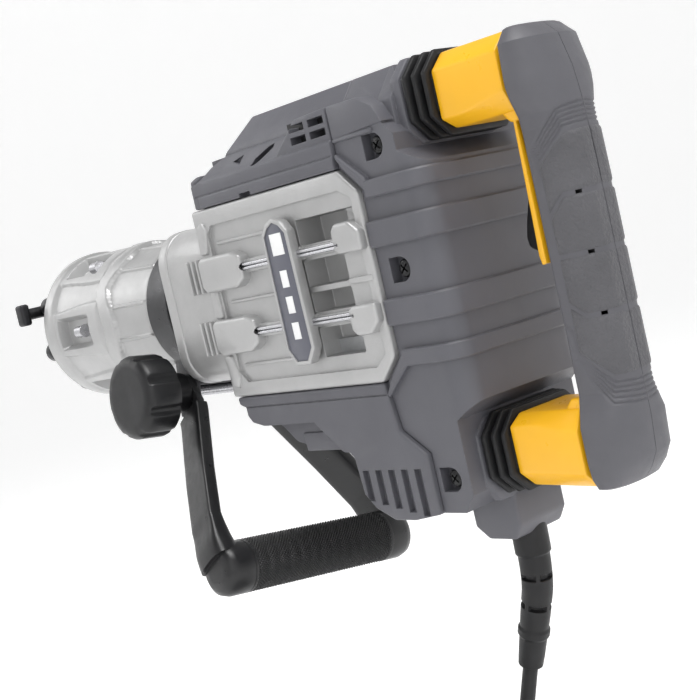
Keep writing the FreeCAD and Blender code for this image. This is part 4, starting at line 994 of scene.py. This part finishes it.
def build_rear_grip():
    """Two moulded shells with fan grooves above and below the pads, and faceted heads."""
    heights = [row[0] for row in GRIP_FORM]
    heights += [38 + 0.55 * step for step in range(62)] + [-101 + 0.55 * step for step in range(96)]
    heights += [-40 + 6 * step for step in range(13)]
    heights = sorted(set(heights))
    sections = [grip_section(z, SECTION_STEPS) for z in heights]
    upper, lower = fan_lines(UPPER_FAN), fan_lines(LOWER_FAN)

    def point(row, column):
        z = heights[row]
        x, y, travelled = sections[row][column]
        lines = upper if 36 < z < 74 else lower if -102 < z < -46 else ()
        sink = 0.0
        if 0 < column < 70:
            for line in lines:
                sink = max(sink, ease(1.0, 0.35, line_gap(line, travelled, z)))
        before, after = sections[row][max(column - 1, 0)], sections[row][min(column + 1, SECTION_STEPS - 1)]
        outward = Vector((-(after[1] - before[1]), after[0] - before[0])).normalized()
        return Vector((x - 0.7 * sink * outward.x, y - 0.7 * sink * outward.y, z))

    for side, name, node in ((1, "grip_shell_left", "handle_shell_left"),
                             (-1, "grip_shell_right", "handle_shell_right")):
        shell = grid_surface(name, len(heights), SECTION_STEPS, point)
        turn_piece(shell, Matrix.Diagonal((1, side, 1, 1)))
        if side < 0:
            shell.data.flip_normals()
        carve(shell, slab("room", (-545, -519), (-16, 16), (-60, 46), 0),
              slab("mouth", (-536, -500), (-6.8, 6.8), (-11, 39), 0),
              bar("button_way", (-527, 0, 53), (-500, 0, 53), 4.1, 0))
        dress(shell, handle_plastic, "rear_handle", [node], smooth=28)

    pads = [grip_pad(side, top, bottom) for top, bottom in PADS for side in SIDES]
    dress(gather("grip_pads", *pads), pad_rubber, "rear_handle", smooth=60)


def grip_pad(side, top, bottom):
    """A pillow-shaped pad that follows the grip's skin and dips into it at its border."""
    rows, columns = 30, 34

    def point(row, column):
        u = 0.3 + (PAD_REACH - 0.3) * column / (columns - 1)
        high, low = between(top, u), between(bottom, u)
        z = low + (high - low) * row / (rows - 1)
        section = grip_section(z, 60)
        index = next(step for step in range(1, 60) if section[step][2] >= u)
        (x0, y0, u0), (x1, y1, u1) = section[index - 1], section[index]
        share = (u - u0) / (u1 - u0)
        outward = Vector((-(y1 - y0), x1 - x0)).normalized()
        border = min(u + 0.5, PAD_REACH - u, z - low, high - z)
        lift = -0.5 + 1.4 * ease(-0.4, 1.8, border)
        x = x0 + (x1 - x0) * share + lift * outward.x
        y = y0 + (y1 - y0) * share + lift * outward.y
        return Vector((max(x, -549.0), side * y, z))

    shape = bmesh.new()
    grid = [[shape.verts.new(point(row, column)) for column in range(columns)]
            for row in range(rows)]
    for first, second in zip(grid, grid[1:]):
        for column in range(columns - 1):
            corners = (first[column], first[column + 1], second[column + 1], second[column])
            shape.faces.new(corners if side < 0 else tuple(reversed(corners)))
    shape.transform(Matrix.Scale(MM, 4))
    data = bpy.data.meshes.new("pad")
    shape.to_mesh(data)
    shape.free()
    pad = bpy.data.objects.new("pad", data)
    bpy.context.scene.collection.objects.link(pad)
    return pad


def build_controls():
    """The trigger and the lock button above it."""
    lever = prism("trigger_lever", "xz", [(-525, 37), (-505, 37), (-500, 26), (-494.5, 11),
                                          (-492, 2), (-492.6, -4), (-498, -7), (-525, -7)],
                  -6.5, 6.5, 2.0, 3)
    dress(lever, black_plastic, "trigger_lever", ["trigger"])
    button = turned("lock_pusher", [(-520.5, 0.01), (-520.5, 3.9), (-503, 3.9), (-502.1, 3.1),
                                    (-502.1, 0.01)], 40, "x", (0, 0, 53))
    dress(button, black_plastic, "button", ["lock_button"])


# ---------------------------------------------------------------- mains cord
CORD_ROUTE = [
    (-414.0, 0.0, -266.6), (-405.3, 0.5, -289.2), (-399.0, 4.0, -314.0), (-398.0, 13.0, -337.0),
    (-399.0, 29.0, -356.0), (-399.0, 50.0, -368.0), (-396.0, 72.0, -373.6),
]
RELIEF_ROUTE = [(-438.0, 0.0, -172.0), (-438.0, 0.0, -205.0), (-428.4, 0.0, -230.6),
                (-414.0, 0.0, -266.6)]
CORD_DIAMETER = 10.0
COIL_RADIUS = 60
COIL_TURNS = 10
FLOOR = -380.0


def spline_curve(name, points, thickness=0.0):
    """A NURBS curve through given control points, in metres."""
    data = bpy.data.curves.new(name, "CURVE")
    data.dimensions = "3D"
    spline = data.splines.new("NURBS")
    spline.points.add(len(points) - 1)
    for control, point in zip(spline.points, points):
        control.co = (*(Vector(point) * MM), 1)
    spline.order_u = 3
    spline.use_endpoint_u = True
    spline.resolution_u = 12
    data.resolution_u = 12
    data.bevel_depth = thickness * MM
    data.bevel_resolution = 6
    data.use_fill_caps = True
    curve = bpy.data.objects.new(name, data)
    bpy.context.scene.collection.objects.link(curve)
    return curve


def read_line(curve):
    """Points along a curve with no bevel, in millimetres."""
    graph = bpy.context.evaluated_depsgraph_get()
    mesh = bpy.data.meshes.new_from_object(curve.evaluated_get(graph))
    points = [vertex.co / MM for vertex in mesh.vertices]
    bpy.data.meshes.remove(mesh)
    return points


def resample(points, count):
    """Evenly spaced points, each with its direction, along a line of points."""
    lengths = [0.0]
    for first, second in zip(points, points[1:]):
        lengths.append(lengths[-1] + (second - first).length)
    found = []
    segment = 0
    for index in range(count):
        want = lengths[-1] * index / (count - 1)
        while segment < len(points) - 2 and lengths[segment + 1] < want:
            segment += 1
        span = lengths[segment + 1] - lengths[segment]
        place = points[segment].lerp(points[segment + 1], (want - lengths[segment]) / span)
        found.append((place, (points[segment + 1] - points[segment]).normalized(), want))
    return found, lengths[-1]


def build_relief():
    """A stepped rubber sleeve with two rings of bending slots and a collar at its mouth."""
    guide = spline_curve("guide", RELIEF_ROUTE)
    line = read_line(guide)
    bpy.data.objects.remove(guide)
    rows, columns = 260, 96
    stations, total = resample(line, rows)

    def radius_at(along, angle):
        radius = between([(0, 11.5), (19, 11.4), (20.5, 10.2), (62, 9.6), (70, 9.3), (72, 10.3),
                          (76, 10.3), (78, 9.0), (93, 8.4), (total, 8.0)], along)
        for index, start in enumerate((34, 54)):
            gap = ease(1.9, 1.4, abs(along - start))
            open_side = ease(0.30, 0.42, abs(math.cos(2 * angle + math.radians(90 * index))))
            radius -= 2.6 * gap * open_side
        return radius

    def point(row, column):
        place, direction, along = stations[row]
        side = Vector((0, 1, 0))
        other = direction.cross(side).normalized()
        angle = 2 * math.pi * column / columns
        radius = radius_at(along, angle)
        return place + radius * (math.cos(angle) * side + math.sin(angle) * other)

    sleeve = grid_surface("cord_sleeve", rows, columns, point)
    return dress(sleeve, black_rubber, "base", ["strain_relief"], smooth=45)


def coil_points(centre, start):
    """Control points of the coil: turns beside and on each other, from the outside of the floor layer."""
    points = []
    per_turn = 16
    radii = [COIL_RADIUS + CORD_DIAMETER * step for step in (-1.5, -0.5, 0.5, 1.5)]
    turns = []
    for layer in range(3):
        order = radii[::-1] if layer % 2 == 0 else radii
        height = FLOOR + 0.2 + CORD_DIAMETER * (layer + 0.5)
        turns += [(radius, height) for radius in order]
    turns = turns[:COIL_TURNS + 1]
    begin = math.atan2(start.y - centre.y, start.x - centre.x)
    for index in range(COIL_TURNS * per_turn):
        turn, step = divmod(index, per_turn)
        share = ease(0.75, 1.0, step / per_turn)
        radius = turns[turn][0] + (turns[turn + 1][0] - turns[turn][0]) * share
        height = turns[turn][1] + (turns[turn + 1][1] - turns[turn][1]) * share
        angle = begin - 2 * math.pi * index / per_turn
        points.append((centre.x + radius * math.cos(angle), centre.y + radius * math.sin(angle),
                       height))
    return points


def build_tie(centre):
    """A flat band that holds the coil together."""
    ring = [(38.6, 0.2), (81.4, 0.2), (81.4, 31.6), (38.6, 31.6)]
    hole = [(39.8, 1.2), (80.2, 1.2), (80.2, 30.4), (39.8, 30.4)]
    band = prism("cord_tie", "yz", ring, -5, 5, 0.9)
    carve(band, prism("hole", "yz", hole, -6, 6, 0.0))
    turn = Matrix.Translation(Vector((centre.x, centre.y, FLOOR)) * MM) @ Matrix.Rotation(
        math.radians(70), 4, "Z")
    turn_piece(band, turn)
    return dress(band, black_plastic, "base")


def build_cord():
    """The mains cord on its route, with the coil, the tie, the plug and the strain relief."""
    coil_low, coil_high = box_mm("cord_coil")
    centre = (coil_low + coil_high) / 2
    start = Vector(CORD_ROUTE[-1])
    cord = spline_curve("mains_cord", CORD_ROUTE + coil_points(centre, start)[1:],
                        CORD_DIAMETER / 2)
    cord.data.materials.append(black_rubber)
    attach(cord, "base")
    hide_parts("cord_run", "cord_coil")
    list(build_plug())
    build_relief()
    build_tie(centre)


def build_plug():
    """A round two-pin plug beside the coil."""
    low, high = box_mm("mains_plug")
    middle = (low + high) / 2
    face = high.y - 19
    body = turned("plug_body", [(face - 49, 5.4), (face - 49, 8.0), (face - 44, 8.8),
                                (face - 30, 14.5), (face - 24, 16.8), (face - 2, 16.8),
                                (face, 15.4), (face, 0.01), (face - 49, 0.01)], 64, "y",
                  (middle.x, 0, middle.z))
    dress(body, black_rubber, "base", ["mains_plug"])
    pins = [bar("pin", (middle.x + offset, face - 2, middle.z), (middle.x + offset, high.y, middle.z),
                2.4, 0.9, 24) for offset in (-9.5, 9.5)]
    return body, dress(gather("plug_pins", *pins), bright_steel, "base")


# ---------------------------------------------------------------- studio
def build_studio():
    """A pale floor that curves up into a wall all round, under soft lights."""
    data = bpy.data.meshes.new("studio_floor")
    shape = bmesh.new()
    flat, curve, top = 4, 3, 5
    profile = [(0.01, 0), (flat, 0)]
    for step in range(1, 10):
        angle = math.radians(10 * step)
        profile.append((flat + curve * math.sin(angle), curve - curve * math.cos(angle)))
    rings = []
    for radius, height in profile + [(flat + curve, top)]:
        rings.append([shape.verts.new((-0.3 + radius * math.cos(math.radians(3.75 * step)),
                                       radius * math.sin(math.radians(3.75 * step)),
                                       (FLOOR - 0.3) * MM + height)) for step in range(96)])
    for ring, after in zip(rings, rings[1:]):
        for step in range(96):
            other = (step + 1) % 96
            shape.faces.new((ring[step], ring[other], after[other], after[step]))
    shape.to_mesh(data)
    shape.free()
    data.shade_smooth()
    ground = bpy.data.objects.new("studio_floor", data)
    bpy.context.scene.collection.objects.link(ground)
    white = surface("studio_white", (0.90, 0.90, 0.90), 0.8, tone=0.01, grain=0.02, edge=0.1,
                    specular=0.1)
    glow = white.node_tree.nodes["Principled BSDF"].inputs
    glow["Emission Color"].default_value = (1, 1, 1, 1)
    glow["Emission Strength"].default_value = 0.35
    data.materials.append(white)

    world = bpy.data.worlds.new("studio")
    bpy.context.scene.world = world
    world.use_nodes = True
    background = world.node_tree.nodes["Background"].inputs
    background["Color"].default_value = (1, 1, 1, 1)
    background["Strength"].default_value = 0.34
    for name, place, size, power in (("key", (-0.9, 0.1, 1.8), 1.1, 32),
                                     ("side", (-1.5, 1.3, 0.7), 1.2, 3.5),
                                     ("rim", (0.9, 0.6, 0.9), 1.0, 4)):
        data = bpy.data.lights.new(name, "AREA")
        data.size = size
        data.energy = power
        lamp = bpy.data.objects.new(name, data)
        lamp.location = place
        aim = Vector((-0.3, 0, 0)) - Vector(place)
        lamp.rotation_mode = "QUATERNION"
        lamp.rotation_quaternion = aim.to_track_quat("-Z", "Y")
        bpy.context.scene.collection.objects.link(lamp)


def build_camera():
    """The view from behind on the left, a little above and rolled."""
    data = bpy.data.cameras.new("camera")
    data.sensor_width = 36
    data.lens = 69.43
    camera = bpy.data.objects.new("camera", data)
    right = Vector((-0.6436, -0.7320, -0.2234))
    up = Vector((-0.0856, -0.2213, 0.9714))
    forward = Vector((0.7605, -0.6443, -0.0799))
    turn = Matrix((right, up, -forward)).transposed()
    camera.matrix_world = Matrix.Translation((-1.0155, 0.6003, 0.0242)) @ turn.to_4x4()
    bpy.context.scene.collection.objects.link(camera)
    bpy.context.scene.camera = camera
    bpy.context.scene.view_settings.view_transform = "Standard"


def main():
    """Build the studio and the pieces."""
    dress_cad_nodes()
    build_camera()
    build_studio()
    build_cord()
    build_nose()
    build_front_cap()
    build_cross_pin()
    build_strap()
    build_clamp()
    build_knob()
    build_side_handle()
    build_gearbox()
    build_badges()
    build_top_cover()
    build_motor_cover()
    build_rear_body()
    build_bellows()
    build_handle_frame()
    build_rear_grip()
    build_controls()


main()
